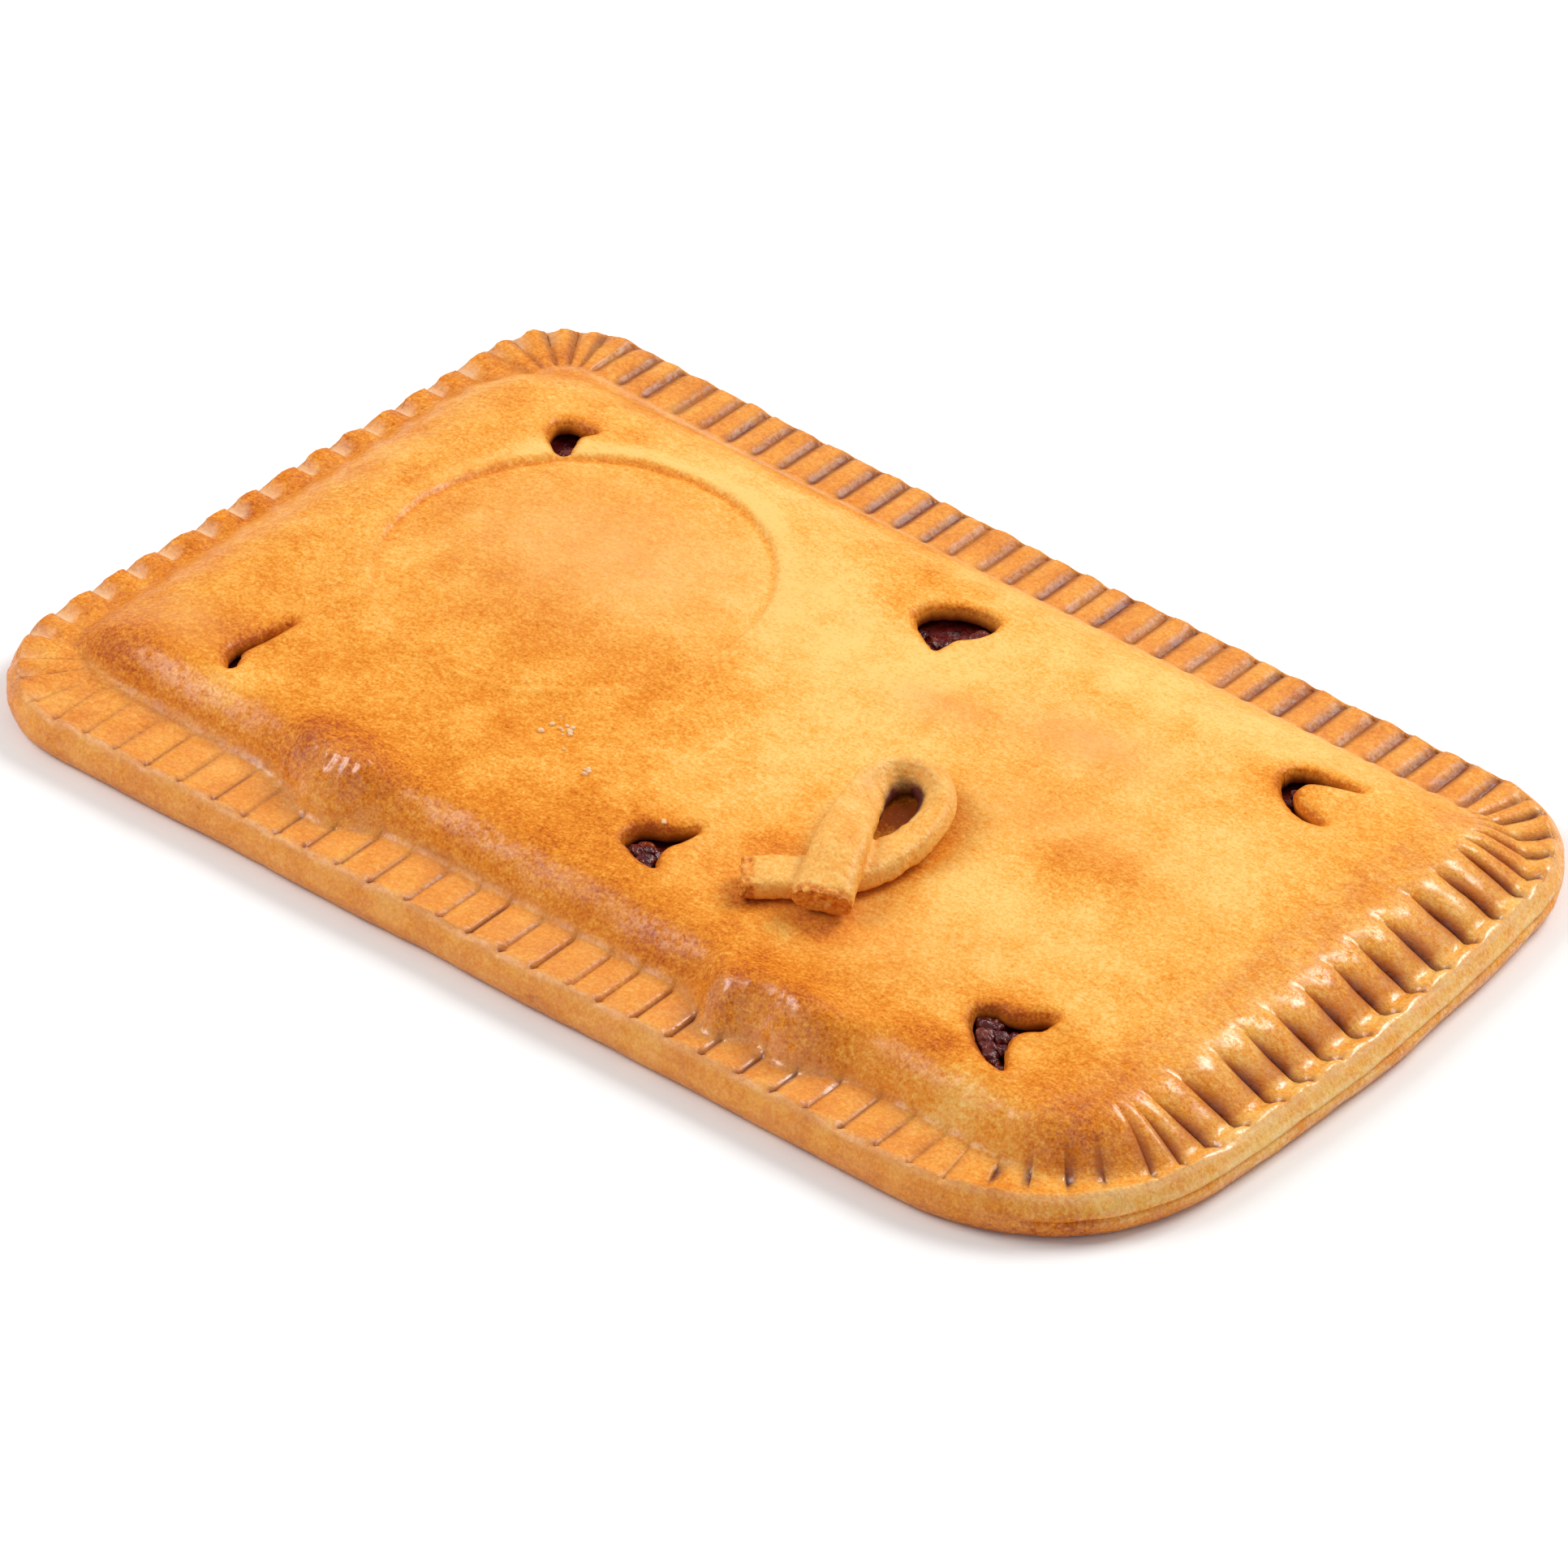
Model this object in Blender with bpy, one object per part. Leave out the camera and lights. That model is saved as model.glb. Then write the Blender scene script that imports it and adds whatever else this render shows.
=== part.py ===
"""A baked tuna empanada: a flat rectangular pie with a crimped rim, vents and a looped dough ribbon.

The crust is the top and bottom dough baked into one piece. Its top is cut by six arrow-shaped
vents, through which the filling shows. The filling is one slab that runs under the top dough.
A strip of dough, laid in a crossed loop, is baked onto the top.

Frame: +X along the length, +Z up, origin under the centre of the pie, on the surface it rests on.
Every size below is in millimetres, and MM turns it into metres.
"""

import math

import bmesh
import bpy
import numpy as np

MM = 0.001

# Overall plan: the four corners that the sides would meet in, and the radius that rounds each
CORNERS = {
    "front_right": (136.6, -80.6, 42.0),
    "back_right": (134.2, 81.6, 28.0),
    "back_left": (-133.6, 85.2, 23.0),
    "front_left": (-136.4, -83.6, 26.0),
}
HALF_LENGTH = 135.0
HALF_WIDTH = 82.6
# How far the middle of each side bows along x and y: right, back, left, front
SIDE_BOWS = ((2.6, 0.0), (0.0, -1.0), (0.0, 0.0), (0.0, 0.0))

# Heights
RIM_TOP = 9.0
PILLOW_TOP = 16.6
BOTTOM_DOUGH = 3.2
TOP_DOUGH = 3.4
GAP = 0.3

# Crimps: how many fall on each side and on each rounded corner, going round from the front right
CORNER_CRIMPS = (8, 6, 5, 5)
SIDE_CRIMPS = (11, 30, 13, 26)
CRIMP_PHASES = (0.0, 0.33, 0.67)
INNER_PHASES = (0.0, 0.5)

# The wall of the rim, from the base up: (distance in from the outline, height)
RIM_WALL = ((2.8, 0.0), (0.5, 1.8), (0.0, 4.6), (2.0, RIM_TOP))
# Rings across the rim and up the shoulder: distance in from the outline
RIM_RINGS = (5.5, 10.0, 15.0, 19.0)
INNER_RING = 23.0
SMALLEST_RADIUS = 5.0

# Per side: flat width of the rim before the pillow rises, and the width of the shoulder that rises
RIM_BED = {"front": 16.0, "back": 15.0, "right": 4.0, "left": 9.0}
SHOULDER = {"front": 10.0, "back": 24.0, "right": 17.0, "left": 22.0}
SHOULDER_ROUNDNESS = 2.2
# The flat rim is wider at the front right corner: by how much, from which y on, and over what distance
CORNER_BED = (9.0, -46.0, 18.0)
# That corner is hardly crimped: its centre x, y, spread along x and y, and the share of crimping lost
CALM_CORNER = (118.0, -64.0, 22.0, 18.0)
CALM_SHARE = 0.85

# Crimp grooves per side: depth, and the stretch across the rim that they cover
GROOVE = {
    "front": (0.5, 1.5, 15.5),
    "back": (0.8, 1.5, 15.0),
    "right": (2.3, 3.0, 20.0),
    "left": (1.5, 0.5, 9.5),
}
GROOVE_EDGE = 2.5
# How high the cushion between two grooves stands, as a share of the grooves' depth
CUSHION = 0.18
# How far along the rim the crimps of one side fade into those of the next
SIDE_REACH = 14.0
SCALLOP = {"front": 0.1, "back": 0.25, "right": 0.2, "left": 0.7}

# Swells and dips of the top: centre x, y, height, and spread along x and y
SWELLS = (
    (-58.0, 4.0, 2.2, 42.0, 34.0),
    (72.0, -2.0, 1.4, 36.0, 34.0),
    (4.0, 36.0, -1.5, 15.0, 14.0),
    (48.0, 27.0, 0.8, 12.0, 8.0),
    (76.0, 2.0, 0.9, 13.0, 8.0),
    (20.0, 21.0, 0.6, 9.0, 6.0),
    (-54.0, -62.0, 2.4, 11.0, 6.0),
    (56.0, -66.0, 3.0, 13.0, 7.0),
    (-74.0, -1.0, 0.6, 5.0, 4.0),
)
# Where the pillow's foot pushes out over the front rim: x, how far, spread
FRONT_BULGES = ((45.0, 7.0, 7.0), (-52.0, 3.0, 8.0))

# The round stamp pressed into the left half
STAMP_CENTRE = (-60.0, 8.5)
STAMP_RADIUS = 38.5
STAMP_DEPTH = 0.7
STAMP_EDGE = 3.0

# Vents: the plan outline of each opening
VENTS = {
    "vent_back_left": (
        (-94.9, 40.5), (-95.9, 44.2), (-94.3, 46.4), (-91.1, 46.6), (-88.6, 46.8),
        (-90.2, 44.2), (-89.4, 41.4), (-87.4, 37.8), (-88.5, 36.3), (-91.9, 38.1),
    ),
    "vent_back_middle": (
        (-2.7, 40.9), (-2.6, 44.5), (-0.4, 47.1), (2.4, 49.0), (6.0, 49.9), (10.0, 49.1),
        (10.9, 46.1), (9.5, 43.3), (7.2, 40.9), (6.4, 37.6), (5.4, 36.2), (1.6, 38.1),
    ),
    "vent_back_right": (
        (81.0, 46.1), (82.7, 49.8), (87.2, 51.4), (92.2, 51.9), (94.8, 51.6), (90.5, 48.6),
        (87.4, 45.4), (88.0, 41.6), (91.5, 39.4), (95.9, 38.3), (92.4, 37.3), (87.3, 39.4),
        (83.6, 42.4),
    ),
    "vent_front_left": (
        (-93.4, -50.5), (-92.4, -46.3), (-91.2, -42.5), (-89.4, -37.8), (-88.6, -43.8),
        (-89.4, -47.7), (-89.4, -50.2), (-87.6, -54.5), (-90.3, -54.9),
    ),
    "vent_front_middle": (
        (2.1, -47.7), (1.5, -44.6), (2.7, -42.0), (5.8, -40.2), (10.4, -36.4), (10.2, -41.0),
        (9.1, -44.5), (9.8, -47.4), (11.5, -49.8), (10.9, -50.5), (7.9, -50.1), (4.6, -48.9),
    ),
    "vent_front_right": (
        (83.2, -46.4), (82.8, -43.8), (84.9, -42.0), (87.1, -41.9), (90.5, -40.8), (93.0, -38.8),
        (95.6, -38.3), (93.9, -41.4), (92.0, -43.9), (91.5, -46.3), (93.2, -49.6), (96.4, -54.0),
        (95.2, -54.2), (91.5, -52.9), (87.1, -50.1),
    ),
}
# How far the dough sinks round each vent, and over what distance
VENT_SINK = 0.4
VENT_SPREAD = 7.0
# How far a vent's cutter stands over the dough, and how far it goes down past the top dough
CUT_ABOVE = 4.0
CUT_BELOW = 1.2

# The slab of filling, in from the outline on every side
FILLING_INSET = 25.0
FILLING_CELLS = (14, 9)

# The ribbon: x, y along its middle, lift over the dough below, turn about its own line, and size
RIBBON_PATH = (
    (45.2, -43.0, 0.4, 0.0, 1.36),
    (42.6, -37.4, 2.6, 0.0, 1.30),
    (39.6, -31.0, 4.4, 3.0, 1.20),
    (36.0, -24.0, 3.4, 10.0, 1.10),
    (32.6, -16.8, 1.6, 24.0, 1.00),
    (30.2, -9.8, 0.3, 42.0, 0.95),
    (30.8, -4.6, 0.0, 58.0, 0.86),
    (35.4, -2.8, 0.0, 60.0, 0.86),
    (41.0, -5.6, 0.0, 48.0, 0.92),
    (44.8, -11.6, 0.0, 34.0, 1.00),
    (45.8, -19.0, 0.0, 20.0, 1.08),
    (44.2, -27.0, 0.0, 8.0, 1.12),
    (40.9, -34.0, 0.0, 0.0, 1.12),
    (36.4, -39.0, 0.0, 0.0, 1.10),
    (31.8, -42.4, 0.0, 0.0, 1.12),
    (28.2, -45.4, 0.0, 0.0, 1.10),
)
RIBBON_WIDTH = 8.4
RIBBON_THICKNESS = 4.6
# The knife that trims the ribbon's first end: block size, and how far in from the end it cuts
KNIFE_SIZE = 20.0
KNIFE_BITE = 0.8
RIBBON_SIDES = 12
RIBBON_SQUARENESS = 0.7
RIBBON_CLEARANCE = 0.5
RIBBON_STEPS = 3


def crimps_around():
    """The kind, index and number of crimps of each corner and side, from the front right corner."""
    for index in range(4):
        yield "corner", index, CORNER_CRIMPS[index]
        yield "side", index, SIDE_CRIMPS[index]


def rounded_corner(index, inset, share):
    """A point on a rounded corner of the outline pushed in by inset, share of the way round it."""
    x, y, radius = list(CORNERS.values())[index]
    radius = max(radius - inset, SMALLEST_RADIUS)
    sign_x, sign_y = math.copysign(1, x), math.copysign(1, y)
    centre_x = x - sign_x * (inset + radius)
    centre_y = y - sign_y * (inset + radius)
    angle = math.radians(90 * (index - 1 + share))
    return centre_x + radius * math.cos(angle), centre_y + radius * math.sin(angle)


def outline_point(kind, index, inset, share):
    """A point on the outline pushed in by inset: on a rounded corner, or on the side that follows it."""
    if kind == "corner":
        return rounded_corner(index, inset, share)
    start = rounded_corner(index, inset, 1.0)
    end = rounded_corner((index + 1) % 4, inset, 0.0)
    bulge = 4 * share * (1 - share)
    bow_x, bow_y = SIDE_BOWS[index]
    return (
        start[0] + (end[0] - start[0]) * share + bow_x * bulge,
        start[1] + (end[1] - start[1]) * share + bow_y * bulge,
    )


def outline_centre():
    """The middle of the outline's own box, which the finished pie has its origin under."""
    points = np.array(ring_points(0.0, CRIMP_PHASES))
    return (points.min(axis=0) + points.max(axis=0)) / 2


def ring_points(inset, phases):
    """Points round the outline pushed in by inset, at the given phases of every crimp."""
    return [
        outline_point(kind, index, inset, (crimp + phase) / count)
        for kind, index, count in crimps_around()
        for crimp in range(count)
        for phase in phases
    ]


def smooth(share):
    share = np.clip(share, 0.0, 1.0)
    return share * share * (3 - 2 * share)


def bell(x, y, centre_x, centre_y, spread_x, spread_y):
    return np.exp(-(((x - centre_x) / spread_x) ** 2) - ((y - centre_y) / spread_y) ** 2)


def rise(x, y):
    """How far up the pillow a point is: 0 on the rim, 1 on top of the pillow."""
    front_bed = RIM_BED["front"] - sum(
        reach * np.exp(-(((x - at) / spread) ** 2)) for at, reach, spread in FRONT_BULGES
    )
    wider, start, reach = CORNER_BED
    right_bed = RIM_BED["right"] + wider * smooth((start - y) / reach)
    short = np.maximum.reduce(
        [
            np.zeros_like(x),
            1 - (x + HALF_LENGTH - RIM_BED["left"]) / SHOULDER["left"],
            1 - (HALF_LENGTH - x - right_bed) / SHOULDER["right"],
        ]
    )
    long = np.maximum.reduce(
        [
            np.zeros_like(x),
            1 - (y + HALF_WIDTH - front_bed) / SHOULDER["front"],
            1 - (HALF_WIDTH - y - RIM_BED["back"]) / SHOULDER["back"],
        ]
    )
    up = np.clip(1 - np.hypot(short, long), 0.0, 1.0)
    return 1 - (1 - up) ** SHOULDER_ROUNDNESS


def vent_middle(outline):
    return np.array(outline).mean(axis=0)


def vent_sink(x, y):
    """How far the dough sags round the vents."""
    return VENT_SINK * sum(
        bell(x, y, *vent_middle(outline), VENT_SPREAD, VENT_SPREAD) for outline in VENTS.values()
    )


def pillow_height(x, y):
    """Height of the pie's top without the crimps, and as if no vent had been cut."""
    x, y = np.asarray(x, float), np.asarray(y, float)
    top = PILLOW_TOP + sum(
        high * bell(x, y, at_x, at_y, wide, deep) for at_x, at_y, high, wide, deep in SWELLS
    )
    from_stamp = np.hypot(x - STAMP_CENTRE[0], y - STAMP_CENTRE[1])
    top -= STAMP_DEPTH * smooth((STAMP_RADIUS - from_stamp) / STAMP_EDGE + 0.5)
    return RIM_TOP + (top - RIM_TOP) * rise(x, y)


def top_height(x, y):
    return pillow_height(x, y) - vent_sink(x, y)


def side_shares(x, y):
    """How much each side's crimps rule at a point of the rim: shares that blend round the corners."""
    near = {
        "right": HALF_LENGTH - x,
        "left": HALF_LENGTH + x,
        "back": HALF_WIDTH - y,
        "front": HALF_WIDTH + y,
    }
    weights = {side: np.exp(-distance / SIDE_REACH) for side, distance in near.items()}
    total = sum(weights.values())
    return {side: weight / total for side, weight in weights.items()}


def crimp_shape(phase):
    """Across one crimp: -1 in the groove at phase 0, a little over 0 on the cushion between."""
    return -1.0 if phase == 0.0 else CUSHION


def crimp_height(x, y, inset, phase):
    """What the crimps add to the height at a point that far in from the outline."""
    added = 0.0
    for side, share in side_shares(x, y).items():
        depth, start, end = GROOVE[side]
        across = smooth((inset - start) / GROOVE_EDGE + 0.6) * smooth((end - inset) / GROOVE_EDGE + 0.6)
        added += share * depth * across * crimp_shape(phase)
    return added * (1 - CALM_SHARE * bell(x, y, *CALM_CORNER))


def scallop(x, y, phase):
    """How far the outline steps in at a groove."""
    if phase != 0.0:
        return 0.0
    return sum(share * SCALLOP[side] for side, share in side_shares(x, y).items())


def material(name, colour, roughness):
    made = bpy.data.materials.new(name)
    made.use_nodes = True
    shader = made.node_tree.nodes["Principled BSDF"]
    shader.inputs["Base Color"].default_value = (*colour, 1.0)
    shader.inputs["Roughness"].default_value = roughness
    shader.inputs["Metallic"].default_value = 0.0
    return made


def new_object(name, mesh, collection):
    made = bpy.data.objects.new(name, mesh)
    collection.objects.link(made)
    return made


def rim_rings(centre):
    """The rings of the wall, the rim and the shoulder, from the base inwards, in millimetres."""
    phases = [phase for _, _, count in crimps_around() for _ in range(count) for phase in CRIMP_PHASES]
    rings = []
    for inset, height in RIM_WALL:
        ring = []
        notch = smooth(height / RIM_TOP - 0.15)
        for (x, y), phase in zip(ring_points(inset, CRIMP_PHASES), phases):
            step = scallop(x, y, phase) * notch
            toward = step / math.hypot(x, y)
            z = height + (crimp_height(x, y, inset, phase) if height == RIM_TOP else 0.0)
            ring.append((x * (1 - toward) - centre[0], y * (1 - toward) - centre[1], z))
        rings.append(ring)
    for inset in RIM_RINGS:
        rings.append(
            [
                (x - centre[0], y - centre[1], top_height(x, y) + crimp_height(x, y, inset, phase))
                for (x, y), phase in zip(ring_points(inset, CRIMP_PHASES), phases)
            ]
        )
    return rings


def add_rings(bm, rings):
    """Lofts the rings, joins the last to a ring with two points a crimp, and closes the base."""
    made = [[bm.verts.new([value * MM for value in point]) for point in ring] for ring in rings]
    for low, high in zip(made[:-2], made[1:-1]):
        for here in range(len(low)):
            after = (here + 1) % len(low)
            bm.faces.new((low[here], low[after], high[after], high[here]))
    outer, inner = made[-2], made[-1]
    for crimp in range(len(inner) // 2):
        first, second, third = outer[3 * crimp : 3 * crimp + 3]
        fourth = outer[(3 * crimp + 3) % len(outer)]
        start, middle = inner[2 * crimp : 2 * crimp + 2]
        end = inner[(2 * crimp + 2) % len(inner)]
        bm.faces.new((first, second, middle, start))
        bm.faces.new((second, third, middle))
        bm.faces.new((third, fourth, end, middle))
    bm.faces.new(list(reversed(made[0])))
    return made[-1]


def make_crust(collection, centre, baked):
    """The whole crust: wall, crimped rim, shoulder and pillow, still without its vents."""
    rings = rim_rings(centre)
    inner = [
        (x - centre[0], y - centre[1], float(top_height(x, y)))
        for x, y in ring_points(INNER_RING, INNER_PHASES)
    ]
    bm = bmesh.new()
    add_rings(bm, [*rings, inner])
    mesh = bpy.data.meshes.new("crust")
    bm.to_mesh(mesh)
    bm.free()
    crust = new_object("crust", mesh, collection)
    crust.data.materials.append(baked)
    fill_top(crust, len(inner))
    place_top(crust, centre)
    return crust


def fill_top(crust, count):
    """Closes the pillow inside the inner ring with a grid of faces."""
    bpy.context.view_layer.objects.active = crust
    for vertex in crust.data.vertices:
        vertex.select = False
    for edge in crust.data.edges:
        edge.select = False
    for polygon in crust.data.polygons:
        polygon.select = False
    first = len(crust.data.vertices) - count
    for vertex in crust.data.vertices[first:]:
        vertex.select = True
    for edge in crust.data.edges:
        edge.select = min(edge.vertices) >= first
    bpy.ops.object.mode_set(mode="EDIT")
    bpy.ops.mesh.select_mode(type="EDGE")
    across = SIDE_CRIMPS[0] * 2 + CORNER_CRIMPS[0] + CORNER_CRIMPS[1]
    bpy.ops.mesh.fill_grid(span=across, offset=CORNER_CRIMPS[0])
    bpy.ops.mesh.select_all(action="SELECT")
    bpy.ops.mesh.normals_make_consistent(inside=False)
    bpy.ops.object.mode_set(mode="OBJECT")


def place_top(crust, centre):
    """Lifts every point inside the inner ring onto the pillow."""
    ring_count = sum(count for _, _, count in crimps_around())
    placed = ring_count * (len(CRIMP_PHASES) * (len(RIM_WALL) + len(RIM_RINGS)) + len(INNER_PHASES))
    for vertex in crust.data.vertices[placed:]:
        x, y = vertex.co.x / MM + centre[0], vertex.co.y / MM + centre[1]
        vertex.co.z = float(top_height(x, y)) * MM


def filling_block(name, grow, centre, collection):
    """The slab under the top dough, grown by a gap for the space that it fills."""
    half_x = HALF_LENGTH - FILLING_INSET + grow
    half_y = HALF_WIDTH - FILLING_INSET + grow
    low = BOTTOM_DOUGH + GAP - grow
    cells_x, cells_y = FILLING_CELLS
    bm = bmesh.new()
    bmesh.ops.create_grid(bm, x_segments=cells_x, y_segments=cells_y, size=1.0)
    for vertex in bm.verts:
        x, y = vertex.co.x * half_x, vertex.co.y * half_y
        under = float(pillow_height(x + centre[0], y + centre[1])) - TOP_DOUGH - GAP + grow
        vertex.co = (x * MM, y * MM, under * MM)
    raised = bmesh.ops.extrude_face_region(bm, geom=bm.faces[:])
    lowered = [item for item in raised["geom"] if isinstance(item, bmesh.types.BMVert)]
    for vertex in lowered:
        vertex.co.z = low * MM
    bmesh.ops.recalc_face_normals(bm, faces=bm.faces[:])
    base_edges = list({edge for vertex in lowered for edge in vertex.link_edges})
    bmesh.ops.dissolve_limit(bm, angle_limit=math.radians(0.5), verts=lowered, edges=base_edges)
    mesh = bpy.data.meshes.new(name)
    bm.to_mesh(mesh)
    bm.free()
    return new_object(name, mesh, collection)


def vent_cutter(name, outline, centre, collection):
    """A prism of the vent's outline, from above the top down into the space for the filling."""
    middle = vent_middle(outline)
    surface = float(top_height(*middle))
    low, high = surface - TOP_DOUGH - CUT_BELOW, surface + CUT_ABOVE
    curve = bpy.data.curves.new(name, "CURVE")
    curve.dimensions = "2D"
    curve.fill_mode = "BOTH"
    curve.extrude = (high - low) / 2 * MM
    spline = curve.splines.new("POLY")
    spline.points.add(len(outline) - 1)
    for place, (x, y) in zip(spline.points, outline):
        place.co = ((x - middle[0]) * MM, (y - middle[1]) * MM, 0.0, 1.0)
    spline.use_cyclic_u = True
    guide = new_object(name + "_outline", curve, collection)
    guide.location = ((middle[0] - centre[0]) * MM, (middle[1] - centre[1]) * MM, (low + high) / 2 * MM)
    return solid_from_curve(name, guide, collection)


def solid_from_curve(name, guide, collection):
    """Makes a curve's evaluated shape a mesh object in the same place, with its caps welded on."""
    bpy.context.view_layer.update()
    evaluated = guide.evaluated_get(bpy.context.evaluated_depsgraph_get())
    mesh = bpy.data.meshes.new_from_object(evaluated)
    mesh.name = name
    bm = bmesh.new()
    bm.from_mesh(mesh)
    bmesh.ops.remove_doubles(bm, verts=bm.verts[:], dist=0.00001)
    bmesh.ops.recalc_face_normals(bm, faces=bm.faces[:])
    bm.to_mesh(mesh)
    bm.free()
    solid = new_object(name, mesh, collection)
    solid.matrix_world = guide.matrix_world
    bpy.data.objects.remove(guide)
    return solid


def cut_from(target, cutters, crosses_itself=False):
    """Cuts each of the cutters out of the target, for good, and removes the cutters."""
    for cutter in cutters:
        cutter.hide_render = True
        cutter.display_type = "WIRE"
        cut = target.modifiers.new("cut", "BOOLEAN")
        cut.operation = "DIFFERENCE"
        cut.solver = "EXACT"
        cut.object = cutter
        cut.use_self = crosses_itself
        bpy.context.view_layer.objects.active = target
        bpy.ops.object.modifier_apply(modifier=cut.name)
        bpy.data.objects.remove(cutter)


def smooth_path():
    """The ribbon's middle line with points added between the chosen ones on a smooth curve."""
    given = np.array(RIBBON_PATH)
    ends = np.vstack([2 * given[0] - given[1], given, 2 * given[-1] - given[-2]])
    made = []
    for index in range(1, len(ends) - 2):
        before, here, after, later = ends[index - 1 : index + 3]
        for step in range(RIBBON_STEPS):
            t = step / RIBBON_STEPS
            bend = 2 * before - 5 * here + 4 * after - later
            swing = 3 * here - before - 3 * after + later
            made.append(0.5 * (2 * here + (after - before) * t + bend * t * t + swing * t**3))
    made.append(given[-1])
    return np.array(made)


def ribbon_section():
    """The flattened round section of the ribbon: points across and up, in millimetres."""
    points = []
    for index in range(RIBBON_SIDES):
        angle = 2 * math.pi * (index + 0.5) / RIBBON_SIDES
        across = math.copysign(abs(math.cos(angle)) ** RIBBON_SQUARENESS, math.cos(angle))
        up = math.copysign(abs(math.sin(angle)) ** RIBBON_SQUARENESS, math.sin(angle))
        points.append((across * RIBBON_WIDTH / 2, up * RIBBON_THICKNESS / 2))
    return points


def resting_height(x, y, along, turn, wide):
    """How high the ribbon's middle must be for its turned section to clear the pie by the gap."""
    side = np.array([along[1], -along[0]]) / math.hypot(*along)
    needed = []
    for across, up in ribbon_section():
        out = (across * math.cos(turn) - up * math.sin(turn)) * wide
        lift = (across * math.sin(turn) + up * math.cos(turn)) * wide
        needed.append(float(top_height(x + side[0] * out, y + side[1] * out)) - lift)
        needed.append(float(top_height(x - side[0] * out, y - side[1] * out)) - lift)
    return max(needed) + RIBBON_CLEARANCE


def section_guide(collection):
    """The section as a closed flat curve that the ribbon's line carries along."""
    section = bpy.data.curves.new("ribbon_section", "CURVE")
    section.dimensions = "2D"
    round_line = section.splines.new("POLY")
    round_line.points.add(RIBBON_SIDES - 1)
    for place, (across, up) in zip(round_line.points, ribbon_section()):
        place.co = (across * MM, up * MM, 0.0, 1.0)
    round_line.use_cyclic_u = True
    guide = new_object("ribbon_section", section, collection)
    guide.hide_render = True
    return guide


def knife_block(path, centre, collection):
    """A block across the ribbon's first end, which it trims square where it meets it."""
    end, inward = path[0, :2], path[1, :2] - path[0, :2]
    inward = inward / np.linalg.norm(inward)
    middle = end + inward * (KNIFE_BITE - KNIFE_SIZE / 2)
    bm = bmesh.new()
    bmesh.ops.create_cube(bm, size=KNIFE_SIZE * MM)
    mesh = bpy.data.meshes.new("knife_block")
    bm.to_mesh(mesh)
    bm.free()
    block = new_object("knife_block", mesh, collection)
    block.location = (
        (middle[0] - centre[0]) * MM,
        (middle[1] - centre[1]) * MM,
        (PILLOW_TOP + KNIFE_SIZE / 4) * MM,
    )
    block.rotation_euler[2] = math.atan2(inward[1], inward[0])
    return block


def make_ribbon(collection, centre, pale):
    """The strip of dough: a curve that carries a flattened round section, turned on edge in its loop."""
    section = section_guide(collection)
    path = smooth_path()
    curve = bpy.data.curves.new("dough_ribbon", "CURVE")
    curve.dimensions = "3D"
    curve.twist_mode = "Z_UP"
    curve.bevel_mode = "OBJECT"
    curve.bevel_object = section
    curve.use_fill_caps = True
    spline = curve.splines.new("POLY")
    spline.points.add(len(path) - 1)
    steps = np.gradient(path[:, :2], axis=0)
    for place, along, (x, y, over, degrees, size) in zip(spline.points, steps, path):
        turn = math.radians(degrees)
        z = resting_height(x, y, along, turn, size) + over
        place.co = ((x - centre[0]) * MM, (y - centre[1]) * MM, z * MM, 1.0)
        place.radius = size
        place.tilt = turn
    guide = new_object("dough_ribbon_line", curve, collection)
    ribbon = solid_from_curve("dough_ribbon", guide, collection)
    bpy.data.objects.remove(section)
    cut_from(ribbon, [knife_block(path, centre, collection)], crosses_itself=True)
    ribbon.data.materials.clear()
    ribbon.data.materials.append(pale)
    return ribbon


def main():
    for old in list(bpy.data.objects):
        bpy.data.objects.remove(old)
    pie = bpy.data.collections.new("tuna_empanada")
    cutters = bpy.data.collections.new("cutters")
    bpy.context.scene.collection.children.link(pie)
    bpy.context.scene.collection.children.link(cutters)

    centre = outline_centre()
    crust = make_crust(pie, centre, material("baked_crust", (0.86, 0.42, 0.11), 0.42))
    hollow = filling_block("filling_space", GAP, centre, cutters)
    vents = [vent_cutter(name, tip, centre, cutters) for name, tip in VENTS.items()]
    cut_from(crust, [hollow, *vents])
    crust.data.set_sharp_from_angle(angle=math.radians(50))

    filling = filling_block("filling", 0.0, centre, pie)
    filling.data.materials.append(material("tuna_and_tomato", (0.14, 0.02, 0.01), 0.25))
    make_ribbon(pie, centre, material("pale_dough", (0.87, 0.5, 0.17), 0.5))


main()
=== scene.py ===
import math

import bmesh
import bpy
import numpy as np
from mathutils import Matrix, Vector


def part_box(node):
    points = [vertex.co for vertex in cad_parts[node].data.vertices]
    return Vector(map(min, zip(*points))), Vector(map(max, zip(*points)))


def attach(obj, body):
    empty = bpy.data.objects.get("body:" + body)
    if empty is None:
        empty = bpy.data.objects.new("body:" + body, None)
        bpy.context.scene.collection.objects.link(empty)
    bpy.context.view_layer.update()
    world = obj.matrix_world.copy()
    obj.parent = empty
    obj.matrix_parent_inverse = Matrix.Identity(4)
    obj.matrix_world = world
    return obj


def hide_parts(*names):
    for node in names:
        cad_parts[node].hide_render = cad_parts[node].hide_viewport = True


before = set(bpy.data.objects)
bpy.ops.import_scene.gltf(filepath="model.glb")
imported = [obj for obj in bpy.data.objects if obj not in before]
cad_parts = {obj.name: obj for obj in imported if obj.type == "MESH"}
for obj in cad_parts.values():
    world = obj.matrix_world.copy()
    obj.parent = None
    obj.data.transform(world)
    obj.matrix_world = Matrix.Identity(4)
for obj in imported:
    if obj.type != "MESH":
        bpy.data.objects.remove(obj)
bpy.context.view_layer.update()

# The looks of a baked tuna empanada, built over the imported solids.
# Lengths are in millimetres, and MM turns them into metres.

MM = 0.001
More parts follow.
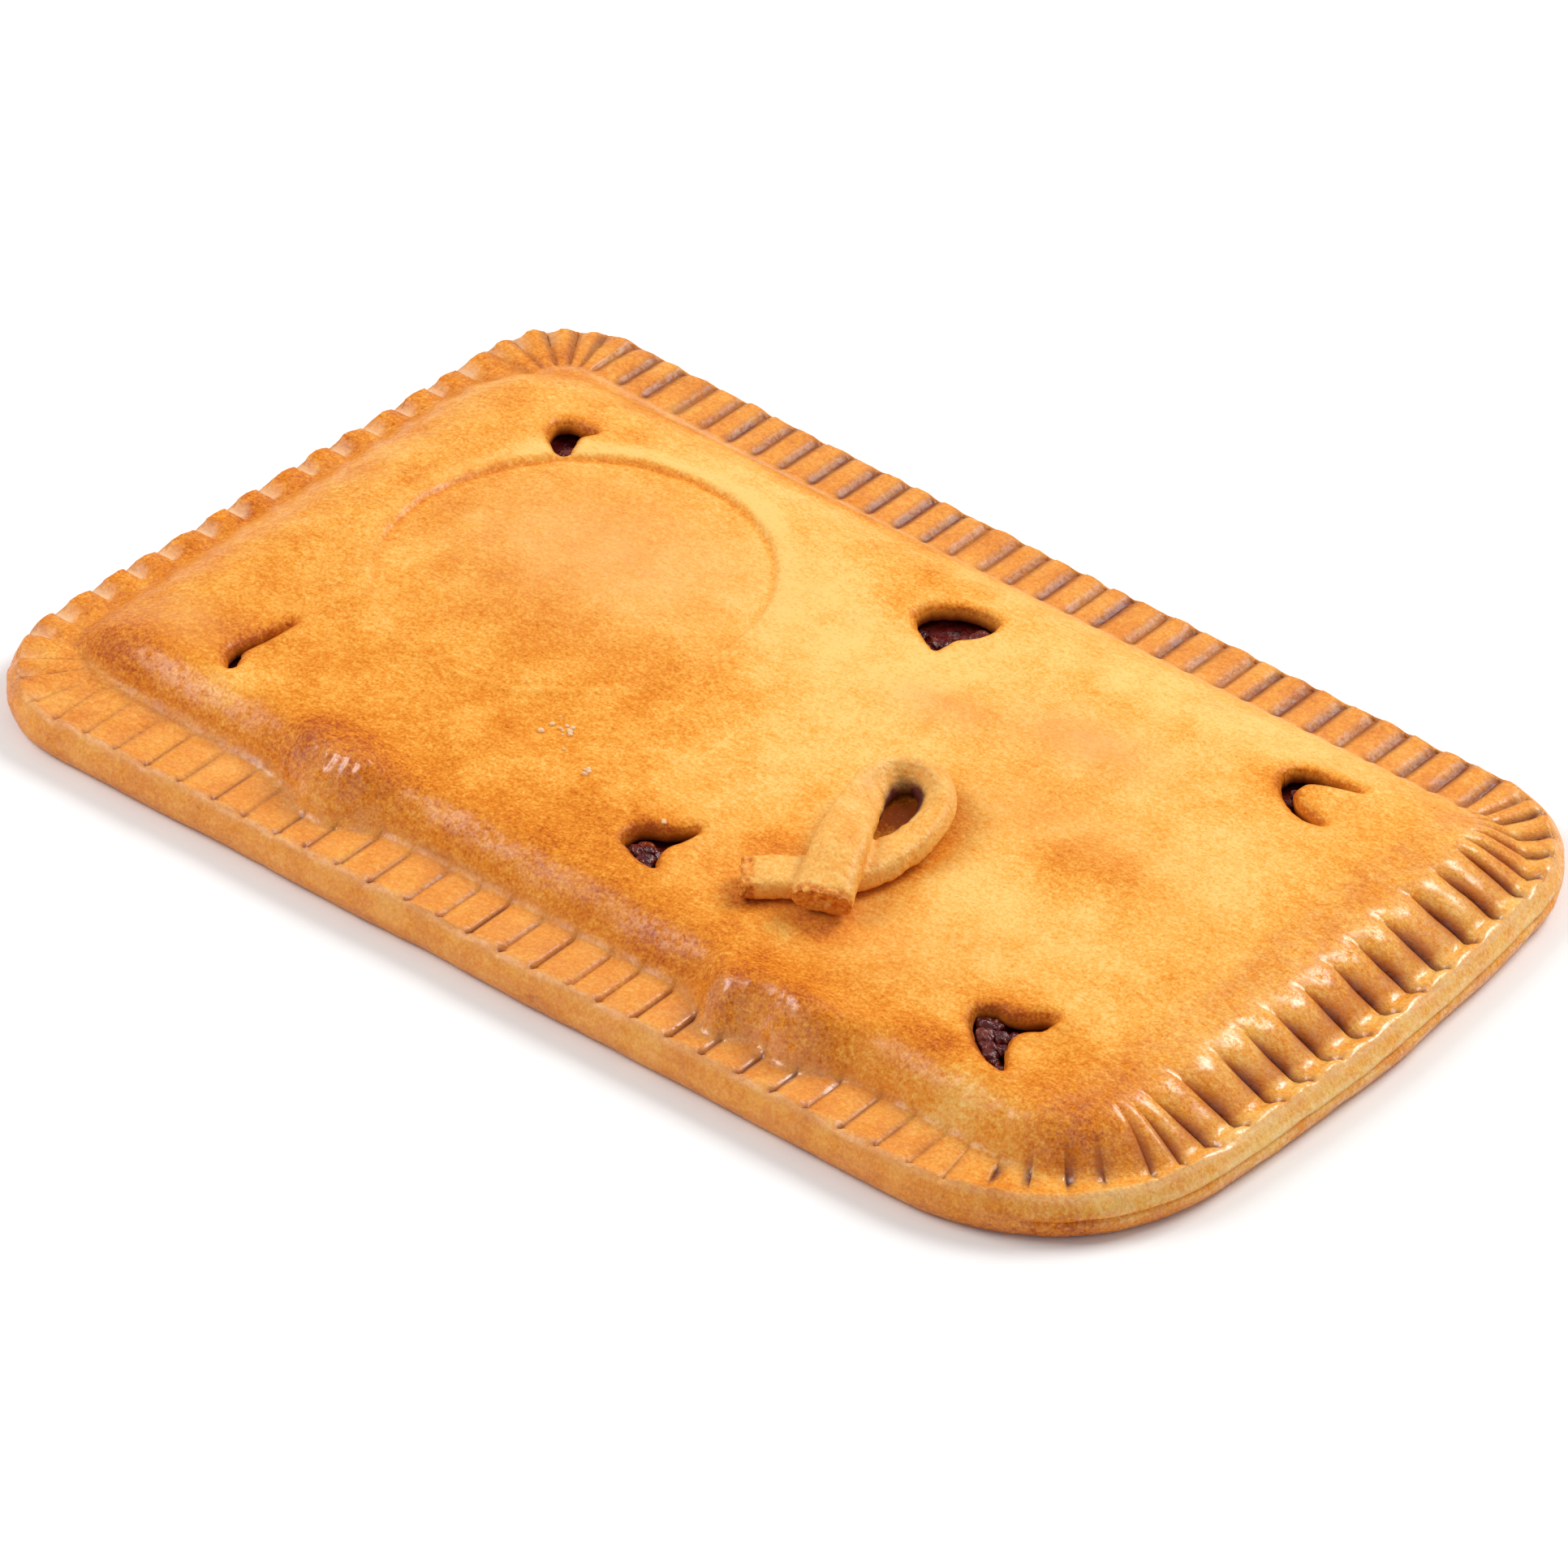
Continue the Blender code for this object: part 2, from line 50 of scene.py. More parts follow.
# Points closer than this are one, in metres
MERGE_REACH = 0.00001

# Plan of the pie, as in its solids. Each corner: x, y, radius
CORNERS = ((136.6, -80.6, 42.0), (134.2, 81.6, 28.0), (-133.6, 85.2, 23.0), (-136.4, -83.6, 26.0))
HALF_LENGTH = 135.0
HALF_WIDTH = 82.6
SIDE_BOWS = ((2.6, 0.0), (0.0, -1.0), (0.0, 0.0), (0.0, 0.0))
SMALLEST_RADIUS = 5.0
RIM_TOP = 9.0
PILLOW_TOP = 16.6
BOTTOM_DOUGH = 3.2
TOP_DOUGH = 3.4
# Air between the filling and the dough
GAP = 0.3

# How strongly each mark of the front right corner is pressed
CORNER_MARKS = (0.1, 0.1, 0.8, 0.15, 0.9, 0.2, 1.0, 0.9)
# Crimps on each rounded corner and on the side that follows it, from the front right corner round
CORNER_CRIMPS = (8, 6, 5, 5)
SIDE_CRIMPS = (11, 30, 13, 26)
# Where a crimp has its columns of points, closest together beside the groove
COLUMN_PHASES = (0.0, 0.05, 0.13, 0.3, 0.5, 0.7, 0.87, 0.95)
CRIMP_PITCH = 8.0
CRIMP_UNEVENNESS = 0.09
# How far along the rim the crimps of one side fade into those of the next
SIDE_REACH = 14.0

# The rim's wall from the base up: how far in from the outline, and height
WALL = (
    (3.0, 0.0), (1.7, 0.3), (0.9, 1.0), (0.35, 2.2), (0.05, 3.4), (0.0, 4.1), (0.03, 4.5),
    (0.05, 4.9), (0.25, 5.8), (0.65, 6.8), (1.2, 7.7), (1.75, 8.35), (2.25, 8.8),
)
SEAM_HEIGHT = 4.5
# Insets of the rings from the edge ridge in to the pillow
RIM_INSETS = (
    2.8, 3.4, 4.0, 4.7, 5.6, 6.6, 7.6, 8.7, 9.8, 10.9, 12.0, 13.0, 14.0, 15.0, 16.0, 17.0, 18.0,
    19.0, 20.0, 21.0, 22.0, 23.0,
)

RIM_BED = {"front": 16.0, "back": 15.0, "right": 4.0, "left": 9.0}
SHOULDER = {"front": 10.0, "back": 24.0, "right": 17.0, "left": 22.0}
SHOULDER_ROUNDNESS = 2.2
# The flat rim is wider at the front right corner: by how much, from which y on, over what distance
CORNER_BED = (9.0, -46.0, 18.0)
# The corner that has only short marks in place of crimps: its centre x, y and spread along x and y
CALM_CORNER = (120.0, -65.0, 22.0, 18.0)
# Swells and dips of the top: centre x, y, height, and spread along x and y
SWELLS = (
    (-58, 4, 2.2, 42, 34), (72, -2, 1.4, 36, 34), (4, 36, -1.5, 15, 14), (48, 27, 0.8, 12, 8),
    (76, 2, 0.9, 13, 8), (20, 21, 0.6, 9, 6), (-54, -62, 2.4, 11, 6), (56, -66, 3, 13, 7),
    (-74, -1, 0.6, 5, 4),
)
# Where the foot of the pillow bulges out over the near rim: x, how far, spread
FRONT_BULGES = ((44.0, 6.5, 6.5), (60.0, 5.0, 8.5), (-53.0, 6.0, 10.5))
# The right side's crimps slant: how far they run back for each millimetre outwards
RIGHT_SLANT = 0.33
# Wrinkled blisters on the near shoulder: centre x, y and spread along x and y
BLISTERS = ((-54.0, -64.5, 10.0, 4.5), (43.0, -69.5, 5.5, 3.6), (59.0, -68.5, 8.5, 3.6))
# The pressed round
STAMP_CENTRE = (-60.0, 8.5)
STAMP_RADIUS = 38.5
STAMP_DEPTH = 0.7

# Vents: the plan outline of each opening
VENTS = {
    "back_left": (
        (-94.9, 40.5), (-95.9, 44.2), (-94.3, 46.4), (-91.1, 46.6), (-88.6, 46.8),
        (-90.2, 44.2), (-89.4, 41.4), (-87.4, 37.8), (-88.5, 36.3), (-91.9, 38.1),
    ),
    "back_middle": (
        (-2.7, 40.9), (-2.6, 44.5), (-0.4, 47.1), (2.4, 49.0), (6.0, 49.9), (10.0, 49.1),
        (10.9, 46.1), (9.5, 43.3), (7.2, 40.9), (6.4, 37.6), (5.4, 36.2), (1.6, 38.1),
    ),
    "back_right": (
        (81.0, 46.1), (82.7, 49.8), (87.2, 51.0), (92.2, 51.4), (94.8, 51.6), (90.5, 49.4),
        (85.9, 47.0), (85.6, 43.0), (89.2, 39.8), (95.9, 38.3), (92.4, 37.5), (87.0, 39.4),
        (83.2, 42.4),
    ),
    "front_left": (
        (-93.0, -50.5), (-92.0, -46.3), (-90.9, -42.5), (-89.4, -37.8), (-89.9, -43.4),
        (-90.7, -47.7), (-90.9, -50.4), (-89.0, -54.5), (-90.3, -54.9),
    ),
    "front_middle": (
        (2.1, -47.7), (1.5, -44.6), (2.7, -42.0), (5.8, -40.2), (10.4, -36.4), (10.2, -41.0),
        (9.1, -44.5), (9.8, -47.4), (11.5, -49.8), (10.9, -50.5), (7.9, -50.1), (4.6, -48.9),
    ),
    "front_right": (
        (83.2, -46.4), (82.8, -43.8), (84.9, -42.0), (87.1, -41.9), (90.5, -40.8), (93.0, -38.8),
        (95.6, -38.3), (93.9, -41.4), (92.0, -43.9), (91.5, -46.3), (93.2, -49.6), (96.4, -54.0),
        (95.2, -54.2), (91.5, -52.9), (87.1, -50.1),
    ),
}
# How far the dough sinks round a vent, over what distance, and how far off a vent still counts
VENT_SINK = 0.4
VENT_SPREAD = 7.0
VENT_REACH = 14.0
# Bits of filling that show in a vent: x, y, depth under the top, size
FILLING_BITS = (
    (-90.6, 40.4, 2.4, 1.8), (-89.6, 38.4, 2.6, 1.3), (-91.6, 42.6, 2.9, 1.5),
    (8.4, 46.6, 2.0, 2.2), (6.0, 44.6, 2.6, 2.0), (9.0, 44.4, 2.3, 1.4), (3.4, 43.4, 3.4, 2.2),
    (5.2, 41.0, 3.2, 1.6), (0.6, 42.4, 3.8, 2.0),
    (3.6, -46.2, 1.9, 1.8), (4.2, -44.0, 2.2, 1.9), (6.6, -46.8, 2.1, 1.9), (8.2, -48.6, 2.2, 1.4),
    (6.4, -43.4, 3.0, 2.0), (8.4, -42.0, 3.4, 1.6),
    (84.8, -44.6, 1.2, 1.9), (86.4, -43.6, 1.4, 1.5), (86.6, -46.8, 1.2, 2.2), (88.8, -45.0, 1.7, 1.9),
    (88.6, -48.6, 1.3, 2.0), (90.4, -50.4, 1.2, 1.7), (91.0, -47.6, 1.6, 1.6), (92.6, -51.8, 1.3, 1.4),
    (94.4, -53.0, 1.4, 1.1), (90.2, -43.2, 2.4, 1.4),
    (84.6, 45.4, 2.2, 1.5), (84.8, 42.6, 2.4, 1.3), (86.4, 49.0, 2.6, 1.4),
)
# Painted shade in the hollow inside the ribbon's loop: x, y, spread along x and y
LOOP_SHADE = (36.4, -10.8, 4.6, 6.6)

# Camera, solved from the outline in the photo
CAMERA_AZIMUTH = 40.56
CAMERA_ELEVATION = 36.84
CAMERA_DISTANCE = 1.62
CAMERA_LENS = 199.67
CAMERA_SENSOR = 36.0
CAMERA_SHIFT = (-0.00116, 0.00228)


def clear_selection():
    if bpy.context.object and bpy.context.object.mode != "OBJECT":
        bpy.ops.object.mode_set(mode="OBJECT")
    bpy.ops.object.select_all(action="DESELECT")


def make_active(piece, others=()):
    clear_selection()
    for each in (*others, piece):
        each.select_set(True)
    bpy.context.view_layer.objects.active = piece


def join_into(piece, others):
    make_active(piece, others)
    bpy.ops.object.join()


def apply_to_all(*operations):
    """Runs the given edit mode operations on all of the active mesh."""
    bpy.ops.object.mode_set(mode="EDIT")
    bpy.ops.mesh.select_all(action="SELECT")
    for operation in operations:
        operation()
    bpy.ops.object.mode_set(mode="OBJECT")


def merge_doubles():
    bpy.ops.mesh.remove_doubles(threshold=MERGE_REACH)


def turn_outward():
    bpy.ops.mesh.normals_make_consistent(inside=False)


def add_object(name, data):
    made = bpy.data.objects.new(name, data)
    bpy.context.scene.collection.objects.link(made)
    return made


def name_new(name):
    piece = bpy.context.object
    piece.name = name
    piece.data.name = name
    return piece


def smooth(share):
    share = np.clip(share, 0.0, 1.0)
    return share * share * (3 - 2 * share)


def hump(away, spread):
    """1 where away is 0, falling smoothly to 0 on both sides."""
    return np.exp(-((away / spread) ** 2))


def bell(x, y, centre_x, centre_y, spread_x, spread_y):
    return np.exp(-(((x - centre_x) / spread_x) ** 2) - ((y - centre_y) / spread_y) ** 2)


def add_patches(x, y, patches):
    """The sum of soft patches, each given by its centre x, y, spread along x and y, and strength."""
    total = np.zeros_like(x)
    for at_x, at_y, wide, deep, strength in patches:
        total += strength * bell(x, y, at_x, at_y, wide, deep)
    return total


def ripple(x, y, size, seed, waves=14):
    """Smooth uneven waves of about the given size, between about -1 and 1."""
    draw = np.random.default_rng(seed)
    total = np.zeros(np.shape(x))
    for _ in range(waves):
        heading = draw.uniform(0, 2 * math.pi)
        reach = size * draw.uniform(0.7, 1.5)
        start = draw.uniform(0, 2 * math.pi)
        total += np.sin((x * math.cos(heading) + y * math.sin(heading)) * 2 * math.pi / reach + start)
    return total * math.sqrt(2.0 / waves) * 0.6


# Plan

def pieces_of_outline():
    for index in range(4):
        yield "corner", index, CORNER_CRIMPS[index]
        yield "side", index, SIDE_CRIMPS[index]


def rounded_corner(index, inset, share):
    x, y, radius = CORNERS[index]
    radius = max(radius - inset, SMALLEST_RADIUS)
    sign_x, sign_y = math.copysign(1, x), math.copysign(1, y)
    angle = math.radians(90 * (index - 1 + share))
    return (
        x - sign_x * (inset + radius) + radius * math.cos(angle),
        y - sign_y * (inset + radius) + radius * math.sin(angle),
    )


def outline_point(kind, index, inset, share):
    if kind == "corner":
        return rounded_corner(index, inset, share)
    start = rounded_corner(index, inset, 1.0)
    end = rounded_corner((index + 1) % 4, inset, 0.0)
    bulge = 4 * share * (1 - share)
    bow_x, bow_y = SIDE_BOWS[index]
    return (
        start[0] + (end[0] - start[0]) * share + bow_x * bulge,
        start[1] + (end[1] - start[1]) * share + bow_y * bulge,
    )


def crimp_marks(count, draw):
    """Where each groove falls along its stretch, as uneven as pressed by hand, both ends kept."""
    marks = np.arange(count + 1, dtype=float)
    marks[1:-1] += draw.uniform(-CRIMP_UNEVENNESS, CRIMP_UNEVENNESS, count - 1)
    return marks / count


def lay_out_columns():
    """For every column: its stretch, its two nearest marks, its phase and the crimp it is in."""
    draw = np.random.default_rng(11)
    columns = []
    crimp = 0
    for kind, index, count in pieces_of_outline():
        marks = crimp_marks(count, draw)
        for step in range(count):
            for place, phase in enumerate(COLUMN_PHASES):
                even = place / len(COLUMN_PHASES)
                columns.append((kind, index, marks[step], marks[step + 1], phase, even, crimp))
            crimp += 1
    return columns


def ring(columns, inset, even_share):
    """One ring of points, pushed in by inset. Its columns even out as even_share goes to 1."""
    points = []
    for kind, index, before, after, phase, even, _ in columns:
        at = phase + (even - phase) * even_share
        points.append(outline_point(kind, index, inset, before + (after - before) * at))
    points = np.array(points)
    x, y = points[:, 0], points[:, 1]
    on_right = smooth((x - 95.0) / 20.0) * smooth((y + 54.0) / 18.0) * smooth((68.0 - y) / 16.0)
    points[:, 1] = y - RIGHT_SLANT * np.clip(inset - 3.0, 0.0, 16.0) * on_right
    return points


# Height of the top

def rise(x, y):
    front_bed = RIM_BED["front"] - sum(
        reach * hump(x - at, spread) for at, reach, spread in FRONT_BULGES
    )
    none = np.zeros_like(x)
    left = 1 - (x + HALF_LENGTH - RIM_BED["left"]) / SHOULDER["left"]
    wider, start, reach = CORNER_BED
    right_bed = RIM_BED["right"] + wider * smooth((start - y) / reach)
    right = 1 - (HALF_LENGTH - x - right_bed) / SHOULDER["right"]
    front = 1 - (y + HALF_WIDTH - front_bed) / SHOULDER["front"]
    back = 1 - (HALF_WIDTH - y - RIM_BED["back"]) / SHOULDER["back"]
    short = np.maximum.reduce([none, left, right])
    long = np.maximum.reduce([none, front, back])
    up = np.clip(1 - np.hypot(short, long), 0.0, 1.0)
    return 1 - (1 - up) ** SHOULDER_ROUNDNESS


def stamp_relief(x, y):
    """The pressed round: a step down at its edge, with a faint raised lip outside it."""
    away = np.hypot(x - STAMP_CENTRE[0], y - STAMP_CENTRE[1]) - STAMP_RADIUS
    turn = np.arctan2(y - STAMP_CENTRE[1], x - STAMP_CENTRE[0])
    crisp = 0.55 + 0.45 * np.sin(turn - 0.5)
    step = -STAMP_DEPTH * (0.35 + 0.65 * crisp) * smooth(-away / 1.6 + 0.5)
    lip = 0.22 * hump(away - 0.9, 0.8)
    groove = -0.25 * hump(away + 1.0, 0.7)
    return step + lip + groove


def spline_stretch(before, here, after, later, steps):
    """The smooth curve from here towards after, as a list of points."""
    bend = 2 * before - 5 * here + 4 * after - later
    swing = 3 * here - before - 3 * after + later
    shares = [step / steps for step in range(steps)]
    return [0.5 * (2 * here + (after - before) * t + bend * t * t + swing * t**3) for t in shares]


def smooth_loop(corners, steps):
    """A closed smooth line through the given points."""
    given = np.array(corners)
    made = []
    for index in range(len(given)):
        made += spline_stretch(*(given[(index + shift) % len(given)] for shift in (-1, 0, 1, 2)), steps)
    return np.array(made)


def distance_to_loop(x, y, line):
    """Distance from each point to a closed line, below 0 inside it."""
    start, end = line, np.roll(line, -1, axis=0)
    run = end - start
    to_x, to_y = x[:, None] - start[:, 0], y[:, None] - start[:, 1]
    share = np.clip((to_x * run[:, 0] + to_y * run[:, 1]) / (run**2).sum(axis=1), 0, 1)
    away = np.hypot(to_x - share * run[:, 0], to_y - share * run[:, 1]).min(axis=1)
    spans = (start[:, 1] > y[:, None]) != (end[:, 1] > y[:, None])
    slope = np.where(run[:, 1] == 0, 1.0, run[:, 1])
    crossing = to_x < run[:, 0] * (y[:, None] - start[:, 1]) / slope
    inside = (spans & crossing).sum(axis=1) % 2 == 1
    return np.where(inside, -away, away)


def vent_distance(x, y):
    """Distance from each point to the nearest vent's outline, below 0 inside it."""
    away = np.full(x.shape, VENT_REACH)
    for outline in VENTS.values():
        middle = np.array(outline).mean(axis=0)
        near = np.hypot(x - middle[0], y - middle[1]) < VENT_REACH
        if near.any():
            found = distance_to_loop(x[near], y[near], smooth_loop(outline, 4))
            away[near] = np.minimum(away[near], found)
    return away


def vent_relief(x, y):
    """The dough sags round a vent, rolls down into it, and swells where it was pushed back."""
    middles = [np.array(outline).mean(axis=0) for outline in VENTS.values()]
    sag = sum(bell(x, y, *middle, VENT_SPREAD, VENT_SPREAD) for middle in middles)
    away = np.maximum(vent_distance(np.atleast_1d(x), np.atleast_1d(y)), 0).reshape(np.shape(x))
    roll = -0.6 * hump(away, 0.9) + 0.35 * hump(away - 2.4, 1.4)
    tongue = 0.9 * bell(x, y, 91.0, 44.6, 4.6, 4.2) + 0.5 * bell(x, y, 13.0, -44.5, 4.0, 4.0)
    flap = 0.7 * bell(x, y, -86.5, -42.0, 3.0, 3.4)
    arm = -1.0 * bell(x, y, 93.5, -41.0, 4.2, 1.6) - 0.7 * bell(x, y, 7.4, 34.4, 1.6, 2.6)
    return roll - VENT_SINK * sag + tongue + flap + arm


def blister_relief(x, y):
    total = np.zeros_like(x)
    for at_x, at_y, wide, deep in BLISTERS:
        patch = bell(x, y, at_x, at_y, wide, deep)
        folds = np.abs(ripple(x, y * 0.6, 5.0, 31))
        total += patch * (0.6 * folds + 0.16 * ripple(x, y, 1.9, 32))
    return total


def pillow_height(x, y):
    """The top's broad form, without stamp, vents, crimps or wrinkles."""
    top = PILLOW_TOP + sum(
        high * bell(x, y, at_x, at_y, wide, deep) for at_x, at_y, high, wide, deep in SWELLS
    )
    return RIM_TOP + (top - RIM_TOP) * rise(x, y)


def top_height(x, y):
    x, y = np.asarray(x, float), np.asarray(y, float)
    up = rise(x, y)
    plain = pillow_height(x, y)
    detail = 0.28 * ripple(x, y, 26.0, 21) + 0.1 * ripple(x, y, 9.0, 22) + 0.03 * ripple(x, y, 3.0, 23)
    detail = detail + stamp_relief(x, y) + vent_relief(x, y)
    return plain + detail * smooth(up * 1.6) + blister_relief(x, y) * smooth(up * 3 + 0.3)


# Crimps

def side_shares(x, y):
    near = {
        "right": HALF_LENGTH - x,
        "left": HALF_LENGTH + x,
        "back": HALF_WIDTH - y,
        "front": HALF_WIDTH + y,
    }
    weights = {side: np.exp(-distance / SIDE_REACH) for side, distance in near.items()}
    total = sum(weights.values())
    return {side: weight / total for side, weight in weights.items()}


def front_crimps(x, inset, phase, beside, random):
    """Thin pressed lines between soft plates, with the edge ridge curling over each plate's end."""
    mid = hump(x - 18.0, 48.0)
    on_rim = smooth((15.8 - inset) / 2.0)
    plate_end = 2.6 + (0.9 + 0.9 * random) * smooth(phase / 0.7) * (1 - smooth((phase - 0.8) / 0.2))
    bed = -0.75 * smooth((inset - plate_end) / 0.8) * smooth((16.5 - inset) / 2.5)
    line = -(0.2 + 0.25 * mid) * (0.7 + 0.6 * random) * hump(beside, 0.5)
    cushion = (0.12 + 0.3 * mid) * (1 - (2 * phase - 1) ** 2)
    slant = 0.35 * mid * (phase - 0.5)
    dot = -0.6 * hump(beside, 0.6) * hump(inset - 3.0, 0.8)
    marks = line * smooth((inset - 2.4) / 0.6) + (cushion + slant) * smooth((inset - 3.2) / 1.2)
    return bed + marks * on_rim + dot


def back_crimps(x, inset, phase, beside, random):
    """Flat-bottomed bands, 2 mm wide, between low raised beds, inside a thin edge ridge."""
    floor = 1 - smooth((beside - 0.8) / 0.5)
    span = smooth((inset - 1.7) / 0.5) * smooth((15.5 - inset) / 1.2)
    notch = -0.6 * floor * hump(inset - 2.2, 0.7)
    bed = (0.1 + 0.2 * random) * (1 - (2 * phase - 1) ** 4)
    ridge = 0.3 * hump(inset - 1.4, 0.8)
    return (-0.9 * floor + bed) * span + notch + ridge


def left_crimps(x, inset, phase, beside, random):
    """Slots with one steep side, between low bulges like the strands of a rope."""
    slot = smooth((phase - 0.58) / 0.14) * (1 - smooth((phase - 0.965) / 0.025))
    reach = smooth((7.4 - inset + 0.9 * random) / 1.0) * smooth((inset - 1.2) / 0.9)
    bulge = np.sin(math.pi * np.clip(phase / 0.72, 0, 1))
    swell = smooth((12.0 - inset) / 5.0)
    return -1.35 * slot * reach + (0.35 + 0.25 * random) * bulge * swell


def right_crimps(x, inset, phase, beside, random):
    """Rounded puffs with a raised inner end, parted by narrow creases."""
    hollow = -1.5 * smooth((inset - 3.0) / 3.0) * smooth((19.0 - inset) / 8.0)
    reach = smooth((19.0 - inset + 2.0 * random) / 7.0) * smooth((inset - 2.6) / 1.6)
    puff = np.sin(math.pi * np.clip(phase, 0, 1)) ** 0.6
    crest = 0.5 * hump(inset - 14.0, 2.5) * puff
    crease = hump(beside, 0.6) * smooth((17.0 - inset) / 8.0)
    return hollow + reach * ((0.9 + 0.3 * random) * puff - 0.9 * crease - 0.2) + crest


STYLES = {"front": front_crimps, "back": back_crimps, "left": left_crimps, "right": right_crimps}


def crimp_strength(crimp):
    """How far each crimp was pressed in. Only a few marks were made round the front right corner."""
    strength = np.ones(sum(CORNER_CRIMPS) + sum(SIDE_CRIMPS))
    strength[: len(CORNER_MARKS)] = CORNER_MARKS
    return strength[crimp]


def corner_mark(inset, beside):
    """A short wedge at the foot of the pillow, as the front right corner has in place of crimps."""
    return np.exp(-((beside / (0.5 + 0.12 * inset)) ** 2)) * hump(inset - 8.0, 2.6)


def calm_share(x, y):
    """How much the front right corner's short marks take the place of crimps."""
    return np.clip(1.25 * bell(x, y, *CALM_CORNER), 0, 1)


def crimp_relief(x, y, inset, phase, beside, random, strength):
    shares = side_shares(x, y)
    shares["front"] = shares["front"] * (1 - smooth(rise(x, y) / 0.2))
    pressed = sum(shares[side] * style(x, inset, phase, beside, random) for side, style in STYLES.items())
    calm = calm_share(x, y)
    flat = -0.5 * smooth((inset - 3.4) / 1.2) * smooth((15.0 - inset) / 4.0)
    edge = smooth((4.8 - inset) / 2.2) * (0.24 * ripple(x, y, 13.0, 81) + 0.2 * ripple(x, y, 4.8, 82))
    return pressed * (1 - calm) + (flat - 0.9 * strength * corner_mark(inset, beside)) * calm + edge


def crease_shade(x, y, inset, phase, beside, random, strength):
    """How dark the grooves are painted: painted shade in the creases and slots, at the pillow's foot and in
    the corner's short marks.
    """
    shares = side_shares(x, y)
    line = hump(beside, 0.42) * smooth((inset - 2.6) / 0.8) * smooth((15.5 - inset) / 3.0)
    dot = hump(beside, 0.6) * hump(inset - 3.0, 0.7)
    foot = 0.35 * hump(inset - 15.4 - 0.8 * np.sin(math.pi * phase), 0.6)
    front = (line * (0.4 + 0.5 * random) + dot + foot) * (1 - smooth(rise(x, y) / 0.15))
    band = (1 - smooth((beside - 0.85) / 0.45)) * smooth((inset - 1.6) / 0.8)
    band = band * smooth((15.6 - inset) / 1.4)
    back = band * (0.6 + 0.4 * random)
    left = hump(phase - 0.972, 0.022) * smooth(7.8 - inset) * smooth((inset - 0.8) / 0.8)
    wide = 0.35 + 0.35 * smooth((9.0 - inset) / 5.0)
    right = hump(beside, wide) * smooth((inset - 3.2) / 1.0) * smooth((15.0 - inset) / 9.0)
    tint = shares["front"] * front + shares["back"] * back + shares["left"] * left * 1.2
    calm = calm_share(x, y)
    tint = (tint + shares["right"] * right) * (1 - calm)
    return np.clip(tint + 1.7 * calm * strength * corner_mark(inset, beside), 0, 1)


def flour_and_highlight_tint(x, y, inset, phase, beside, random):
    """How pale the dough is painted: the floors of the left slots stayed pale, and the crest of the edge
    ridge has a painted highlight.
    """
    shares = side_shares(x, y)
    floor = smooth((phase - 0.66) / 0.08) * (1 - smooth((phase - 0.945) / 0.02))
    left = floor * smooth((7.0 - inset) / 1.2) * smooth((inset - 0.8) / 0.8) * (0.7 + 0.4 * random)
    crest = hump(inset - 1.8, 1.0) * 0.4
    foot = 0.45 * shares["back"] * hump(inset - 16.2, 0.6)
    # Painted highlight along the crest of the edge ridge
    ridge = (shares["right"] + 0.5 * shares["front"]) * crest
    return np.clip(shares["left"] ** 1.5 * left + ridge + foot, 0, 1)


# Building the crust

def outline_centre():
    points = ring(lay_out_columns(), 0.0, 0.0)
    return (points.min(axis=0) + points.max(axis=0)) / 2


CENTRE = outline_centre()


def rolled_strip(rows, columns):
    """A flat strip of dough with a cell for each column and row, before it is wrapped round the pie."""
    clear_selection()
    bpy.ops.mesh.primitive_grid_add(x_subdivisions=columns, y_subdivisions=rows - 1, size=1.0)
    return name_new("baked_crust_shell")


def wall_bulge(x, y, height, phase, crimp_random):
    """How far the wall steps in or out at a height: the seam, the rope's bulges and hand unevenness."""
    shares = side_shares(x, y)
    ends = shares["right"] + 0.35 * shares["front"] * smooth((x - 60.0) / 40.0)
    seam = 0.75 * hump(height - SEAM_HEIGHT, 0.4) * ends
    notch = smooth((phase - 0.6) / 0.2) * (1 - smooth((phase - 0.95) / 0.05))
    rope = 0.6 * notch * shares["left"] * smooth(height / 6.0 - 0.2)
    wander = 0.22 * ripple(x, y, 38.0, 41) + 0.1 * ripple(x, y + height * 3, 9.0, 42)
    lower = 0.25 * (1 - smooth((height - 3.6) / 1.0)) * ends * ripple(x, y, 30.0, 43)
    return np.clip(seam + rope + 0.3 + wander - lower, 0.0, None)


def wall_row(columns, inset, height, phase, random, strength):
    """One row of the rim's wall: its points, two tints and insets."""
    points = ring(columns, inset, 0.0)
    x, y = points[:, 0], points[:, 1]
    step = wall_bulge(x, y, height, phase, random)
    inward = -points / np.linalg.norm(points, axis=1)[:, None]
    points = points + inward * step[:, None]
    top_share = smooth((height - 7.0) / 1.9)
    place = (x, y, np.full_like(x, inset), phase, np.minimum(phase, 1 - phase) * CRIMP_PITCH, random)
    z = height + crimp_relief(*place, strength) * top_share
    tints = crease_shade(*place, strength) * top_share, flour_and_highlight_tint(*place) * top_share
    return np.column_stack([points - CENTRE, z]), *tints, place[2]


def rim_row(columns, inset, phase, even, random, strength):
    """One ring of the rim and shoulder: its points, two tints and insets."""
    even_share = smooth((inset - 14.0) / (RIM_INSETS[-1] - 14.0))
    points = ring(columns, inset, even_share)
    x, y = points[:, 0], points[:, 1]
    at = phase + (even - phase) * even_share
    place = (x, y, np.full_like(x, inset), at, np.minimum(at, 1 - at) * CRIMP_PITCH, random)
    z = top_height(x, y) + crimp_relief(*place, strength)
    return np.column_stack([points - CENTRE, z]), crease_shade(*place, strength), flour_and_highlight_tint(*place), place[2]


